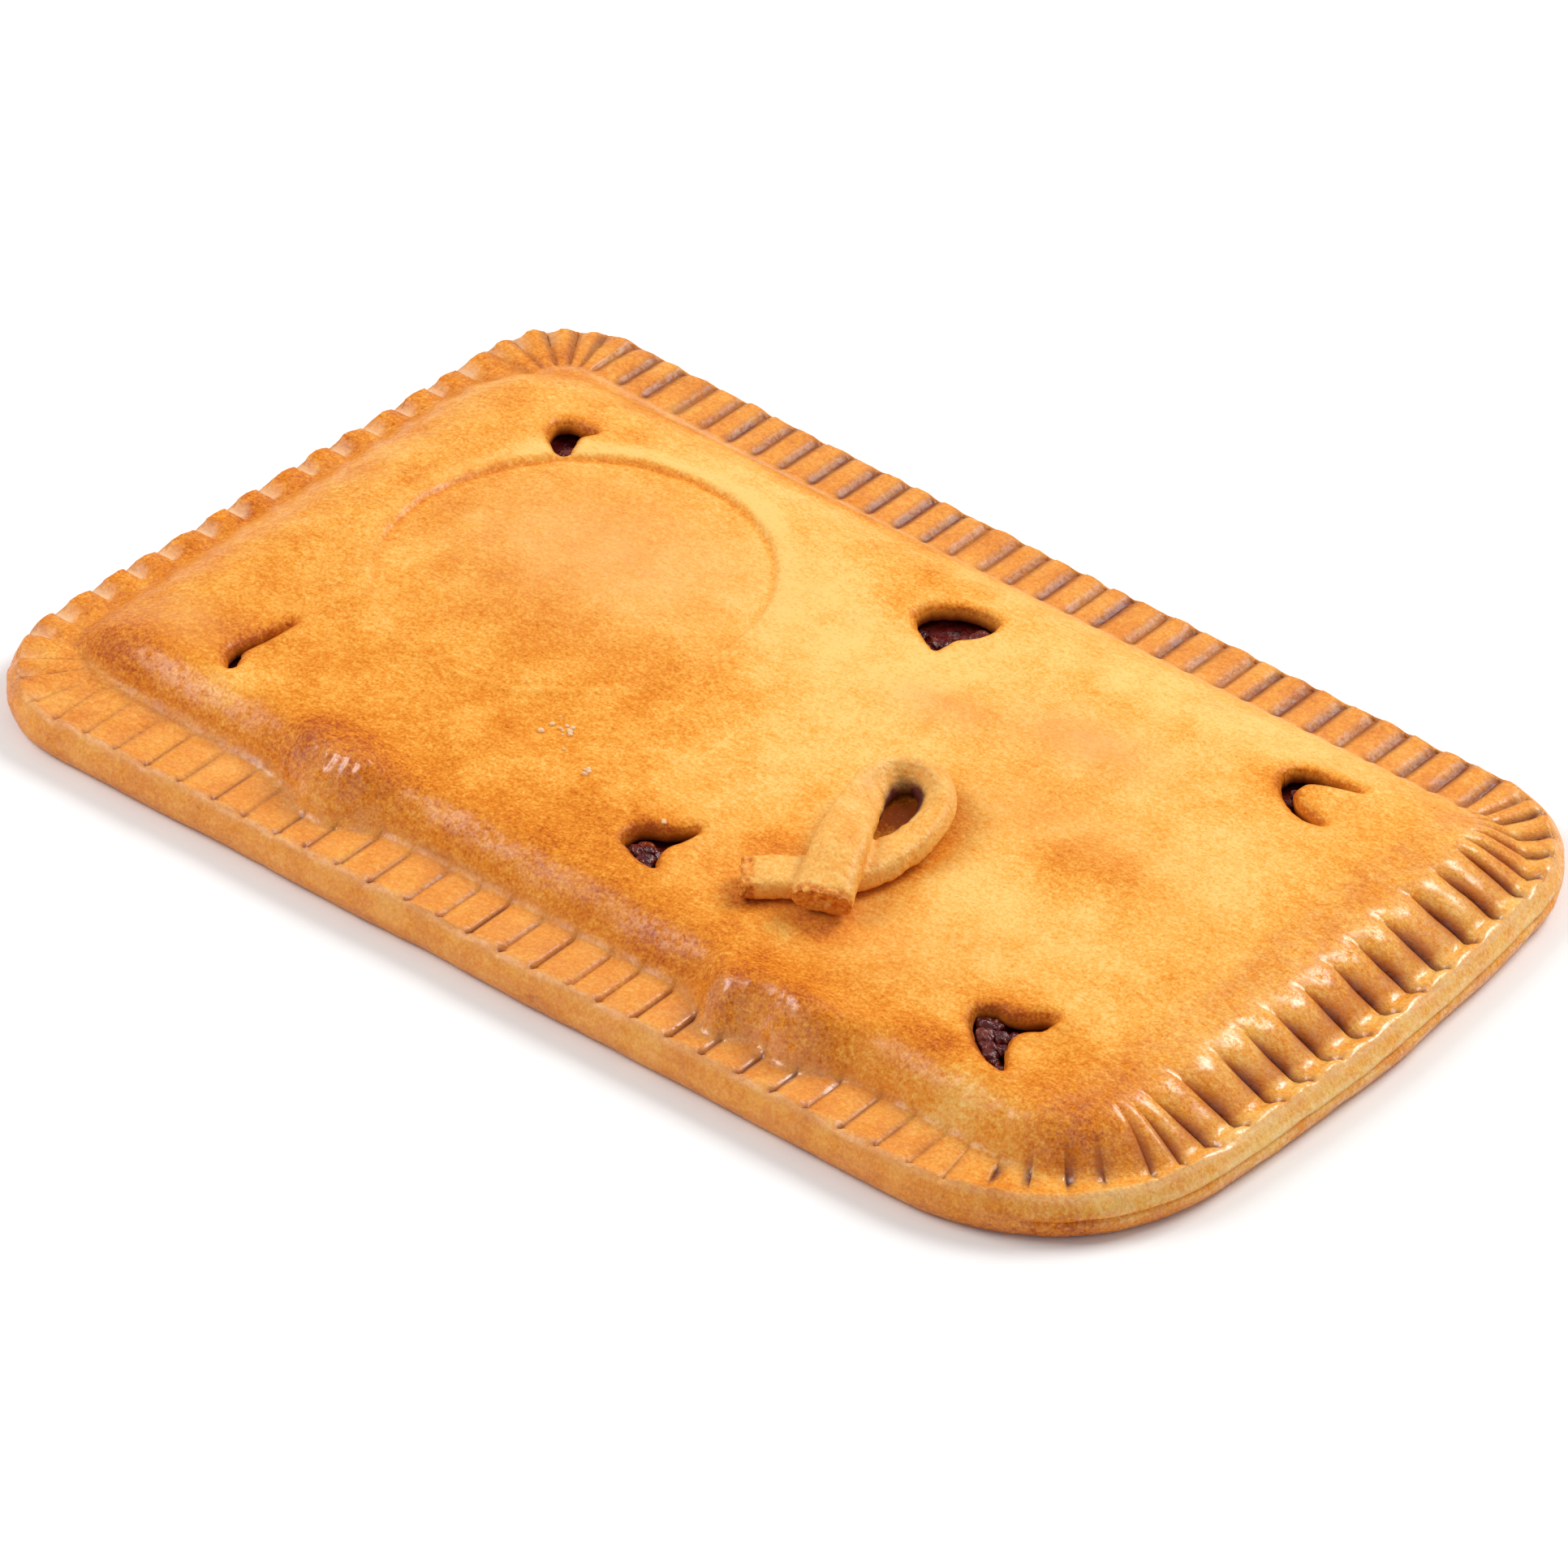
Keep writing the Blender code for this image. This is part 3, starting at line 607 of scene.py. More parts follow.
def crust_points():
    """The points and tints of the strip once it is wrapped: wall, rim and shoulder, row by row."""
    columns = lay_out_columns()
    phase, even, crimp = (np.array([column[part] for column in columns]) for part in (4, 5, 6))
    random = np.random.default_rng(12).uniform(0, 1, crimp.max() + 1)[crimp]
    strength = crimp_strength(crimp)
    rows = [wall_row(columns, inset, height, phase, random, strength) for inset, height in WALL]
    rows += [rim_row(columns, inset, phase, even, random, strength) for inset in RIM_INSETS]
    return [np.array(part) for part in zip(*rows)]


def put_attribute(mesh, name, values):
    layer = mesh.attributes.get(name) or mesh.attributes.new(name, "FLOAT", "POINT")
    layer.data.foreach_set("value", np.ascontiguousarray(values, dtype=np.float32))


def on_plan(points):
    """The plan's x and y of points that are measured from the centre."""
    return points[:, 0] + CENTRE[0], points[:, 1] + CENTRE[1]


def read_points(mesh):
    flat = np.empty(len(mesh.vertices) * 3)
    mesh.vertices.foreach_get("co", flat)
    return flat.reshape(-1, 3) / MM


def write_points(mesh, points):
    mesh.vertices.foreach_set("co", (points * MM).ravel())
    mesh.update()


def wrap_strip(strip, rows):
    """Wraps the flat strip round the outline. Its two short ends then lie on each other."""
    places, *others = [np.concatenate([part, part[:, :1]], axis=1) for part in rows]
    write_points(strip.data, places.reshape(-1, 3))
    for name, values in zip(("crease", "flour_and_highlight", "inset"), others):
        put_attribute(strip.data, name, values.ravel())


def select_points(piece, chosen):
    """Selects the vertices that the mask names, and the edges and faces between them."""
    mesh = piece.data
    mesh.vertices.foreach_set("select", chosen)
    ends = np.empty(len(mesh.edges) * 2, dtype=np.int32)
    mesh.edges.foreach_get("vertices", ends)
    mesh.edges.foreach_set("select", chosen[ends].reshape(-1, 2).all(axis=1))
    for polygon in mesh.polygons:
        polygon.select = bool(chosen[list(polygon.vertices)].all())


def close_base(crust):
    """Joins the strip's ends and fills the base with one face."""
    make_active(crust)
    apply_to_all(merge_doubles)
    select_points(crust, read_points(crust.data)[:, 2] < 0.01)
    bpy.ops.object.mode_set(mode="EDIT")
    bpy.ops.mesh.select_mode(type="EDGE")
    bpy.ops.mesh.edge_face_add()
    bpy.ops.object.mode_set(mode="OBJECT")


def close_top(crust):
    """Fills the innermost ring with a grid that starts at the front right corner."""
    depth = np.empty(len(crust.data.vertices), dtype=np.float32)
    crust.data.attributes["inset"].data.foreach_get("value", depth)
    select_points(crust, depth > RIM_INSETS[-1] - 0.01)
    across = (SIDE_CRIMPS[0] + (CORNER_CRIMPS[0] + CORNER_CRIMPS[1]) / 2) * len(COLUMN_PHASES)
    start = grid_corner(crust, depth)
    bpy.ops.object.mode_set(mode="EDIT")
    bpy.ops.mesh.select_mode(type="VERT")
    cage = bmesh.from_edit_mesh(crust.data)
    cage.verts.ensure_lookup_table()
    cage.select_history.clear()
    cage.select_history.add(cage.verts[start])
    bpy.ops.mesh.fill_grid(span=int(across), offset=0)
    bpy.ops.object.mode_set(mode="OBJECT")
    apply_to_all(turn_outward)


def grid_corner(crust, depth):
    """The point of the innermost ring that lies halfway round the front right corner."""
    points = read_points(crust.data)
    x, y, radius = CORNERS[0]
    inset = RIM_INSETS[-1]
    reach = inset + (radius - inset) * (1 - math.sqrt(0.5))
    middle = np.array([x - reach - CENTRE[0], y + reach - CENTRE[1]])
    away = np.hypot(points[:, 0] - middle[0], points[:, 1] - middle[1])
    away[depth < inset - 0.01] = np.inf
    return int(away.argmin())


def refine_where(piece, test):
    """Subdivides the faces of the top whose middle passes the test, to carry finer relief."""
    mesh = piece.data
    for vertex in mesh.vertices:
        vertex.select = False
    for edge in mesh.edges:
        edge.select = False
    centres = np.array([polygon.center for polygon in mesh.polygons]) / MM + [*CENTRE, 0.0]
    up = np.array([polygon.normal.z for polygon in mesh.polygons])
    chosen = test(centres[:, 0], centres[:, 1]) & (up > 0.2) & (centres[:, 2] > 5.0)
    mesh.polygons.foreach_set("select", chosen)
    bpy.ops.object.mode_set(mode="EDIT")
    bpy.ops.mesh.select_mode(type="FACE")
    bpy.ops.mesh.subdivide(number_cuts=1)
    bpy.ops.object.mode_set(mode="OBJECT")


def near_detail(x, y):
    """Where the top needs finer faces: round the stamp's edge, the blisters and the vents."""
    stamp = np.abs(np.hypot(x - STAMP_CENTRE[0], y - STAMP_CENTRE[1]) - STAMP_RADIUS) < 2.4
    blisters = (np.hypot((x + 54) / 16, (y + 62) / 7) < 1) | (np.hypot((x - 56) / 20, (y + 69) / 7) < 1)
    return stamp | blisters | (np.abs(vent_distance(x, y)) < 3.5)


def lift_top(crust):
    """Puts every point inside the last ring on the pillow."""
    points = read_points(crust.data)
    x, y = on_plan(points)
    last_ring = ring(lay_out_columns(), RIM_INSETS[-1], 1.0)[::4]
    free = (distance_to_loop(x, y, last_ring) < 0.3) & (points[:, 2] > RIM_TOP - 3)
    points[free, 2] = top_height(x[free], y[free])
    write_points(crust.data, points)


# Cells along and across the filling's slab, and of the space cut out for it
SLAB_CELLS = (230, 120)
SPACE_CELLS = (60, 34)
# The cutter of a vent from above the top down: height over the dough there, and how far it flares
CUTTER_LEVELS = (
    (1.2, 1.1), (0.15, 0.62), (-0.3, 0.25), (-0.8, 0.05), (-1.6, 0.0), (-3.0, 0.1), (-5.4, 0.2),
)


def vent_cutter(name, outline):
    """A plug of the vent's shape, extruded level by level, with a mouth that flares like a torn lip."""
    line = smooth_loop(outline, 5)
    ahead = np.roll(line, -1, axis=0) - np.roll(line, 1, axis=0)
    area = (line[:, 0] * np.roll(line[:, 1], -1) - np.roll(line[:, 0], -1) * line[:, 1]).sum()
    outward = np.column_stack([ahead[:, 1], -ahead[:, 0]]) * math.copysign(1.0, area)
    outward /= np.linalg.norm(outward, axis=1)[:, None]
    line = line + outward * (0.16 * ripple(line[:, 0], line[:, 1], 2.4, 35))[:, None]
    surface = top_height(line[:, 0], line[:, 1])
    clear_selection()
    bpy.ops.mesh.primitive_circle_add(vertices=len(line), radius=5 * MM, fill_type="NGON")
    cutter = name_new(name)
    bpy.ops.object.mode_set(mode="EDIT")
    bpy.ops.mesh.select_all(action="SELECT")
    for _ in CUTTER_LEVELS[1:]:
        bpy.ops.mesh.extrude_region_move(TRANSFORM_OT_translate={"value": (0, 0, -1 * MM)})
    bpy.ops.object.mode_set(mode="OBJECT")
    level = np.rint(-read_points(cutter.data)[:, 2]).astype(int)
    points = np.zeros((len(level), 3))
    for index, (over, flare) in enumerate(CUTTER_LEVELS):
        ring_here = line + outward * flare
        points[level == index] = np.column_stack([ring_here - CENTRE, surface + over])
    write_points(cutter.data, points)
    apply_to_all(turn_outward)
    return cutter


def filling_slab(name, grow, cells):
    """The slab of filling under the top dough. A little grown, it is the space cut out for it."""
    low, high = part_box("filling")
    size = [(high[axis] - low[axis]) / MM + 2 * grow for axis in range(3)]
    middle = [(high[axis] + low[axis]) / 2 / MM for axis in range(3)]
    clear_selection()
    bpy.ops.mesh.primitive_grid_add(x_subdivisions=cells[0], y_subdivisions=cells[1], size=1.0)
    slab = name_new(name)
    points = read_points(slab.data) * MM
    points[:, 0] = points[:, 0] * size[0] + middle[0]
    points[:, 1] = points[:, 1] * size[1] + middle[1]
    x, y = on_plan(points)
    points[:, 2] = pillow_height(x, y) - TOP_DOUGH - GAP + grow
    write_points(slab.data, points)
    bpy.ops.object.mode_set(mode="EDIT")
    bpy.ops.mesh.select_all(action="SELECT")
    bpy.ops.mesh.extrude_region_move(TRANSFORM_OT_translate={"value": (0, 0, -4 * MM)})
    bpy.ops.object.mode_set(mode="OBJECT")
    points = read_points(slab.data)
    chosen = np.array([vertex.select for vertex in slab.data.vertices])
    points[chosen, 2] = BOTTOM_DOUGH + GAP - grow
    write_points(slab.data, points)
    apply_to_all(turn_outward)
    return slab


def cut_out(target, cutters):
    for cutter in cutters:
        cut = target.modifiers.new("cut", "BOOLEAN")
        cut.operation = "DIFFERENCE"
        cut.solver = "MANIFOLD"
        cut.object = cutter
        make_active(target)
        bpy.ops.object.modifier_apply(modifier=cut.name)
        bpy.data.objects.remove(cutter)


# Browned patches: x, y, spread along x and y, and how far they brown (or, below 0, stay pale)
BROWNING = (
    (115, -58, 9, 9, 0.12), (86, -56, 10, 5, 0.12), (85, -40, 5, 4, 0.25), (25, -64, 8, 4, 0.22),
    (-50, -5, 10, 12, 0.12), (-86, -57, 16, 6, -0.32), (-88, 40, 11, 6, -0.28),
    (-110, 20, 8, 6, -0.15), (-28, 66, 16, 5, 0.18), (-54, -62, 17, 6.5, 0.3),
    (-58, -56, 9, 4.5, 0.2), (-60, -50, 30, 10, 0.08), (-34, -28, 34, 24, 0.22),
    (-50, -10, 14, 10, 0.22), (-24, -8, 14, 12, 0.2), (-5, -50, 20, 14, 0.2),
    (-66, -40, 12, 8, 0.16), (-95, -46, 6, 5, 0.2), (40, -55, 30, 5, 0.16), (85, -57, 8, 5, 0.24),
    (40, 4, 6, 16, 0.08), (-50, 66, 16, 5, 0.2), (-96, -49, 9, 6, 0.12), (-108, -58, 10, 6, 0.16),
    (-6, 53, 26, 7, 0.22), (24, 22, 9, 8, 0.14), (56, 16, 12, 9, 0.14), (71, -3, 12, 8, 0.24),
    # The second patch on the next line, at 24, -32 beside the ribbon's arm, is painted shadow
    (62, -42, 18, 12, 0.08), (24, -32, 7, 6, 0.4), (37, -45.5, 9, 4, 0.3), (50, -44, 6, 4, 0.18),
    (47, -7, 5, 8, 0.14), (-10, -60, 40, 7, 0.1), (40, -64, 22, 6, 0.1), (46, -64, 10, 6, 0.2),
    (62, -64, 9, 5, 0.2), (4, -42, 12, 6, 0.22), (88, -42, 12, 6, 0.24), (112, -48, 10, 12, 0.14),
    (-74, -1, 7, 5, 0.12), (79, 2, 9, 5, 0.16), (-93, 45, 7, 4.5, 0.1), (86, 46, 9, 6, 0.25),
    (-6, 42, 5, 5, 0.14), (40, -36, 12, 7, 0.12), (50, -26, 4, 12, 0.14), (108, 54, 14, 12, 0.1),
    (5, 32, 26, 20, -0.14), (8, -8, 14, 16, -0.04), (62, -18, 22, 9, -0.08), (56, 52, 36, 7, -0.1),
    (-60, 56, 50, 5, -0.1),
)
# Rosy patches: x, y, spread along x and y, strength
ROSY = (
    (-60, 17, 31, 23, 0.65), (21, 21, 11, 6, 0.6), (48, 29, 14, 8, 0.75), (60, 6, 22, 9, 0.35),
    (-106, -50, 11, 7, 0.5), (46, -40, 26, 12, 0.3),
)


def distance_to_ribbon(x, y):
    """Distance from each point to the ribbon's middle line, from its plan."""
    line = smooth_path(2)[:, :2]
    return np.min([np.hypot(x - at_x, y - at_y) for at_x, at_y in line], axis=0)


def browning_of_top(x, y):
    """How brown the top has baked: pale in the middle, golden right, amber left and near. It also holds
    painted shade on the stamp's far edge, a painted highlight on its near lip, and painted shadow round the
    ribbon.
    """
    toast = 0.2 + 0.22 * smooth((-40 - x) / 70.0) + 0.17 * smooth((x - 90) / 24.0)
    toast += 0.12 * smooth((-117 - x) / 8.0)
    toast += 0.26 * smooth((-38 - y) / 26.0) + 0.08 * smooth((y - 56) / 14.0)
    toast -= 0.16 * smooth((x - 66) / 20.0) * smooth((-54 - y) / 8.0)
    toast += add_patches(x, y, BROWNING)
    toast += 0.04 * ripple(x, y, 34.0, 51) + 0.045 * ripple(x, y, 12.0, 52)
    turn = np.arctan2(y - STAMP_CENTRE[1], x - STAMP_CENTRE[0])
    away = np.hypot(x - STAMP_CENTRE[0], y - STAMP_CENTRE[1]) - STAMP_RADIUS
    far_side = 0.5 + 0.5 * np.sin(turn - 0.35)
    # Painted shade along the stamp's far edge, where its wall faces away from the light
    toast += 0.42 * far_side**2 * hump(away + 0.7, 0.8)
    # Painted highlight, broken in places, along the stamp's near lip
    broken = ripple(x, y, 7.0, 55) > -0.2
    toast -= 0.14 * (1 - far_side) * hump(away - 0.4, 0.8) * broken
    # Painted shadow along the ribbon, as a brown band on both sides of it
    toast += 0.3 * np.exp(-((distance_to_ribbon(x, y) / 5.6) ** 4))
    return toast - 0.3 * far_side**2 * hump(away - 2.8, 2.4)


# Glazed places, where the egg wash shines: x, y, spread along x and y, strength
GLAZED = (
    (-54, -67, 12, 4.5, 2.2), (43, -71, 7, 4, 2.2), (59, -69.5, 10, 4, 2.2),
    (-20, -62, 22, 3.2, 0.45), (24, -63, 14, 3.2, 0.45), (88, -63, 16, 4, 0.5),
    (112, -58, 8, 8, 0.6), (-92, -62, 20, 4, 0.4),
)


def gloss_of_top(x, y, up):
    """Where the crust shines: glazed places, the right side's puffs and all of the rim a little."""
    gloss = add_patches(x, y, GLAZED)
    shares = side_shares(x, y)
    rim = 1 - smooth(up * 2.5)
    ridge = 0.2 * rim * smooth((0.04 - up) / 0.04)
    puffs = 0.9 * shares["right"] * smooth((x - 106) / 6.0)
    return gloss + ridge + puffs + 0.3 * shares["left"] + 0.03


# Pale crumbs on the top: x, y, how widely they lie and how many
CRUMBS = ((-28.5, -30.2, 2.6, 9), (-16.3, -36.3, 1.4, 5), (4.4, -39.6, 1.2, 4), (-24.0, -33.0, 5.0, 4))


def add_crumbs():
    """A few flakes of pale dough that lie on the top."""
    draw = np.random.default_rng(17)
    crumbs = []
    for at_x, at_y, reach, count in CRUMBS:
        for _ in range(count):
            x, y = at_x + draw.normal(0, reach / 2), at_y + draw.normal(0, reach / 2)
            size = draw.uniform(0.3, 0.8)
            if vent_distance(np.array([x]), np.array([y]))[0] < 1.0:
                continue
            clear_selection()
            bpy.ops.mesh.primitive_ico_sphere_add(subdivisions=2, radius=size * MM)
            crumb = name_new("crumb")
            points = read_points(crumb.data) * [1.0, draw.uniform(0.4, 1.0), 0.6]
            height = float(top_height(x, y)) + 0.2 * size
            write_points(crumb.data, points + [x - CENTRE[0], y - CENTRE[1], height])
            put_attribute(crumb.data, "toast", np.full(len(points), -0.6))
            put_attribute(crumb.data, "flour_and_highlight", np.full(len(points), 0.9))
            crumbs.append(crumb)
    return crumbs


def brown_rim(toast, x, y, z, rim, shares, corner):
    """The rim's own browning in place of the top's, paler in the wall's upper right band."""
    rim_toast = 0.5 * shares["front"] + 0.52 * shares["back"] + 0.62 * shares["left"] + 0.27 * shares["right"]
    rim_toast += 0.09 * ripple(x, y, 10.0, 53)
    toast = toast * (1 - rim) + rim * rim_toast
    wall = smooth((7.2 - z) / 2.0) * rim
    upper_band = shares["right"] * smooth((z - SEAM_HEIGHT) / 0.8) * smooth(7.6 - z)
    toast += wall * (0.05 + 0.06 * ripple(x, z * 4 + y, 14.0, 54) - 0.3 * upper_band)
    toast += 0.16 * smooth((4.2 - z) / 3.0) * rim
    return toast + 0.3 * corner * wall


# Where juice has reddened a vent's lip: x, y, spread along x and y, strength
REDDENED = ((6.0, 46.0, 7.0, 5.0, 1.0), (4.0, -47.0, 5.0, 5.0, 1.0), (86.0, -48.0, 6.0, 8.0, 1.0))


def paint_crust(crust):
    """Gives each point its browning, rosiness, rawness inside the cuts and dark juice, with painted shade in
    the hollow inside the ribbon's loop.
    """
    points = read_points(crust.data)
    (x, y), z = on_plan(points), points[:, 2]
    up = rise(x, y)
    shares = side_shares(x, y)
    rim = 1 - smooth(up * 4.0)
    corner = bell(x, y, 122.0, -66.0, 22.0, 16.0)
    toast = brown_rim(browning_of_top(x, y), x, y, z, rim, shares, corner)
    rim_rosy = 0.45 * shares["back"] + 0.5 * shares["front"] * (1 - corner)
    rosy = np.clip(add_patches(x, y, ROSY), 0, 1) * (1 - rim) + rim * rim_rosy
    surface = top_height(x, y)
    inside = smooth((surface - z - 0.35) / 0.9) * smooth(up * 5 - 0.2) * (z > BOTTOM_DOUGH)
    deep = smooth((surface - z - 1.2) / 1.4) * inside
    vent_away = np.maximum(vent_distance(x, y), 0)
    lip = hump(vent_away, 0.8) * (1 - inside)
    toast += 0.4 * hump(vent_away, 1.4) * (1 - inside)
    # Painted shade in the hollow inside the ribbon's loop, laid on as extra browning and dark juice colour
    hollow = bell(x, y, *LOOP_SHADE)
    juice_and_shade = deep + 0.6 * lip * np.clip(add_patches(x, y, REDDENED), 0, 1) + 0.45 * hollow
    put_attribute(crust.data, "toast", np.clip(toast + 1.1 * hollow, 0, 1.2))
    put_attribute(crust.data, "gloss", np.clip(gloss_of_top(x, y, up), 0, 2))
    put_attribute(crust.data, "rosy", rosy)
    put_attribute(crust.data, "raw", inside)
    put_attribute(crust.data, "juice_and_shade", np.clip(juice_and_shade, 0, 1))


def build_crust():
    rows = crust_points()
    strip = rolled_strip(*rows[0].shape[:2])
    wrap_strip(strip, rows)
    close_base(strip)
    close_top(strip)
    refine_where(strip, near_detail)
    lift_top(strip)
    cutters = [vent_cutter("vent_" + name, outline) for name, outline in VENTS.items()]
    cutters.append(filling_slab("filling_space", GAP, SPACE_CELLS))
    cut_out(strip, cutters)
    paint_crust(strip)
    join_into(strip, add_crumbs())
    bpy.ops.object.shade_smooth_by_angle(angle=math.radians(60))
    return strip


# Materials

def new_group(name, inputs, outputs):
    group = bpy.data.node_groups.new(name, "ShaderNodeTree")
    for label, kind, default in inputs:
        socket = group.interface.new_socket(name=label, in_out="INPUT", socket_type=kind)
        socket.default_value = default
    for label, kind in outputs:
        group.interface.new_socket(name=label, in_out="OUTPUT", socket_type=kind)
    start = group.nodes.new("NodeGroupInput")
    end = group.nodes.new("NodeGroupOutput")
    return group, start, end


def add_noise(tree, vector, scale, detail=3.0, roughness=0.55, distortion=0.0):
    node = tree.nodes.new("ShaderNodeTexNoise")
    node.inputs["Scale"].default_value = scale
    node.inputs["Detail"].default_value = detail
    node.inputs["Roughness"].default_value = roughness
    node.inputs["Distortion"].default_value = distortion
    tree.links.new(vector, node.inputs["Vector"])
    return node.outputs["Fac"]


def add_math(tree, operation, first, second=None, clamp=False):
    node = tree.nodes.new("ShaderNodeMath")
    node.operation = operation
    node.use_clamp = clamp
    for index, value in enumerate((first, second)):
        if value is None:
            continue
        if isinstance(value, (int, float)):
            node.inputs[index].default_value = value
        else:
            tree.links.new(value, node.inputs[index])
    return node.outputs["Value"]


def add_mix(tree, share, first, second):
    node = tree.nodes.new("ShaderNodeMix")
    node.data_type = "RGBA"
    for name, value in (("Factor", share), ("A", first), ("B", second)):
        socket = [item for item in node.inputs if item.name == name and item.enabled][0]
        if isinstance(value, (int, float)):
            socket.default_value = value
        elif isinstance(value, tuple):
            socket.default_value = (*value, 1.0)
        else:
            tree.links.new(value, socket)
    return [item for item in node.outputs if item.enabled][0]


def add_ramp(tree, value, stops):
    node = tree.nodes.new("ShaderNodeValToRGB")
    ramp = node.color_ramp
    while len(ramp.elements) < len(stops):
        ramp.elements.new(0.5)
    for element, (place, colour) in zip(ramp.elements, stops):
        element.position = place
        element.color = (*colour, 1.0)
    tree.links.new(value, node.inputs["Fac"])
    return node.outputs["Color"]


def stretched(tree, vector, scale):
    node = tree.nodes.new("ShaderNodeMapping")
    node.inputs["Scale"].default_value = scale
    tree.links.new(vector, node.inputs["Vector"])
    return node.outputs["Vector"]


# Colours, from the palest dough to the most browned, then the tints over them and the filling's
PALE = (0.93, 0.58, 0.17)
GOLD = (0.88, 0.4, 0.06)
AMBER = (0.78, 0.25, 0.015)
TOASTED = (0.62, 0.16, 0.006)
BURNT = (0.44, 0.08, 0.004)
ROSE = (0.8, 0.34, 0.1)
# Painted shade in the grooves
CREASE_SHADE = (0.15, 0.03, 0.02)
RAW = (0.5, 0.12, 0.01)
# Dark juice in the vents, and painted shade in the loop's hollow and on the ribbon's inner walls
JUICE_AND_SHADE = (0.085, 0.008, 0.005)
# Pale dough, and a painted highlight along the edge ridge
FLOUR_AND_HIGHLIGHT = (0.86, 0.58, 0.34)
DARK_TUNA = (0.035, 0.002, 0.004)
RED_TUNA = (0.12, 0.008, 0.006)
TOMATO = (0.3, 0.05, 0.01)


def baked_colour_group():
    """Dough colour from how brown it is: a golden ramp, shifted by grain, streaks and clouds."""
    group, start, end = new_group(
        "baked_colour",
        [
            ("Vector", "NodeSocketVector", (0, 0, 0)),
            ("Browning", "NodeSocketFloat", 0.3),
            ("Grain", "NodeSocketFloat", 1.0),
        ],
        [("Color", "NodeSocketColor")],
    )
    vector = start.outputs["Vector"]
    fine = add_noise(group, vector, 1700.0, 3.0, 0.65)
    middle = add_noise(group, stretched(group, vector, (1.0, 1.7, 1.0)), 620.0, 4.0, 0.7)
    broad = add_noise(group, vector, 90.0, 6.0, 0.65)
    grain, streak, cloud = (
        add_math(group, "MULTIPLY", add_math(group, "SUBTRACT", noise, 0.5), strength)
        for noise, strength in ((fine, 1.1), (middle, 0.9), (broad, 0.6))
    )
    shift = add_math(group, "ADD", add_math(group, "ADD", grain, streak), cloud)
    strength = add_math(group, "MULTIPLY", add_math(group, "ADD", start.outputs["Browning"], 0.9), 0.75)
    shift = add_math(group, "MULTIPLY", shift, add_math(group, "MULTIPLY", strength, start.outputs["Grain"]))
    browned = add_math(group, "ADD", start.outputs["Browning"], shift)
    colour = add_ramp(
        group, browned, [(0.02, PALE), (0.3, GOLD), (0.55, AMBER), (0.8, TOASTED), (1.0, BURNT)]
    )
    group.links.new(colour, end.inputs["Color"])
    return group


def dough_skin_group():
    """Height of the baked skin: fine pores, soft wrinkles and low lumps."""
    group, start, end = new_group(
        "dough_skin",
        [("Vector", "NodeSocketVector", (0, 0, 0)), ("Roughen", "NodeSocketFloat", 1.0)],
        [("Height", "NodeSocketFloat")],
    )
    vector = start.outputs["Vector"]
    pores = add_noise(group, vector, 1500.0, 2.0, 0.6)
    wrinkles = add_noise(group, vector, 520.0, 4.0, 0.6, 0.4)
    lumps = add_noise(group, vector, 160.0, 3.0, 0.5)
    height = add_math(group, "MULTIPLY", pores, 0.35)
    height = add_math(group, "ADD", height, add_math(group, "MULTIPLY", wrinkles, 0.9))
    height = add_math(group, "MULTIPLY", height, start.outputs["Roughen"])
    height = add_math(group, "ADD", height, lumps)
    group.links.new(height, end.inputs["Height"])
    return group


def place_group(tree, group, **values):
    node = tree.nodes.new("ShaderNodeGroup")
    node.node_tree = group
    for name, value in values.items():
        if isinstance(value, (int, float)):
            node.inputs[name].default_value = value
        else:
            tree.links.new(value, node.inputs[name])
    return node


def new_material(name):
    material = bpy.data.materials.new(name)
    material.use_nodes = True
    tree = material.node_tree
    shader = tree.nodes["Principled BSDF"]
    coordinates = tree.nodes.new("ShaderNodeTexCoord").outputs["Object"]
    return material, tree, shader, coordinates


def read_attribute(tree, name):
    node = tree.nodes.new("ShaderNodeAttribute")
    node.attribute_name = name
    return node.outputs["Fac"]


def add_bump(tree, shader, height, strength, distance):
    node = tree.nodes.new("ShaderNodeBump")
    node.inputs["Strength"].default_value = strength
    node.inputs["Distance"].default_value = distance
    tree.links.new(height, node.inputs["Height"])
    tree.links.new(node.outputs["Normal"], shader.inputs["Normal"])


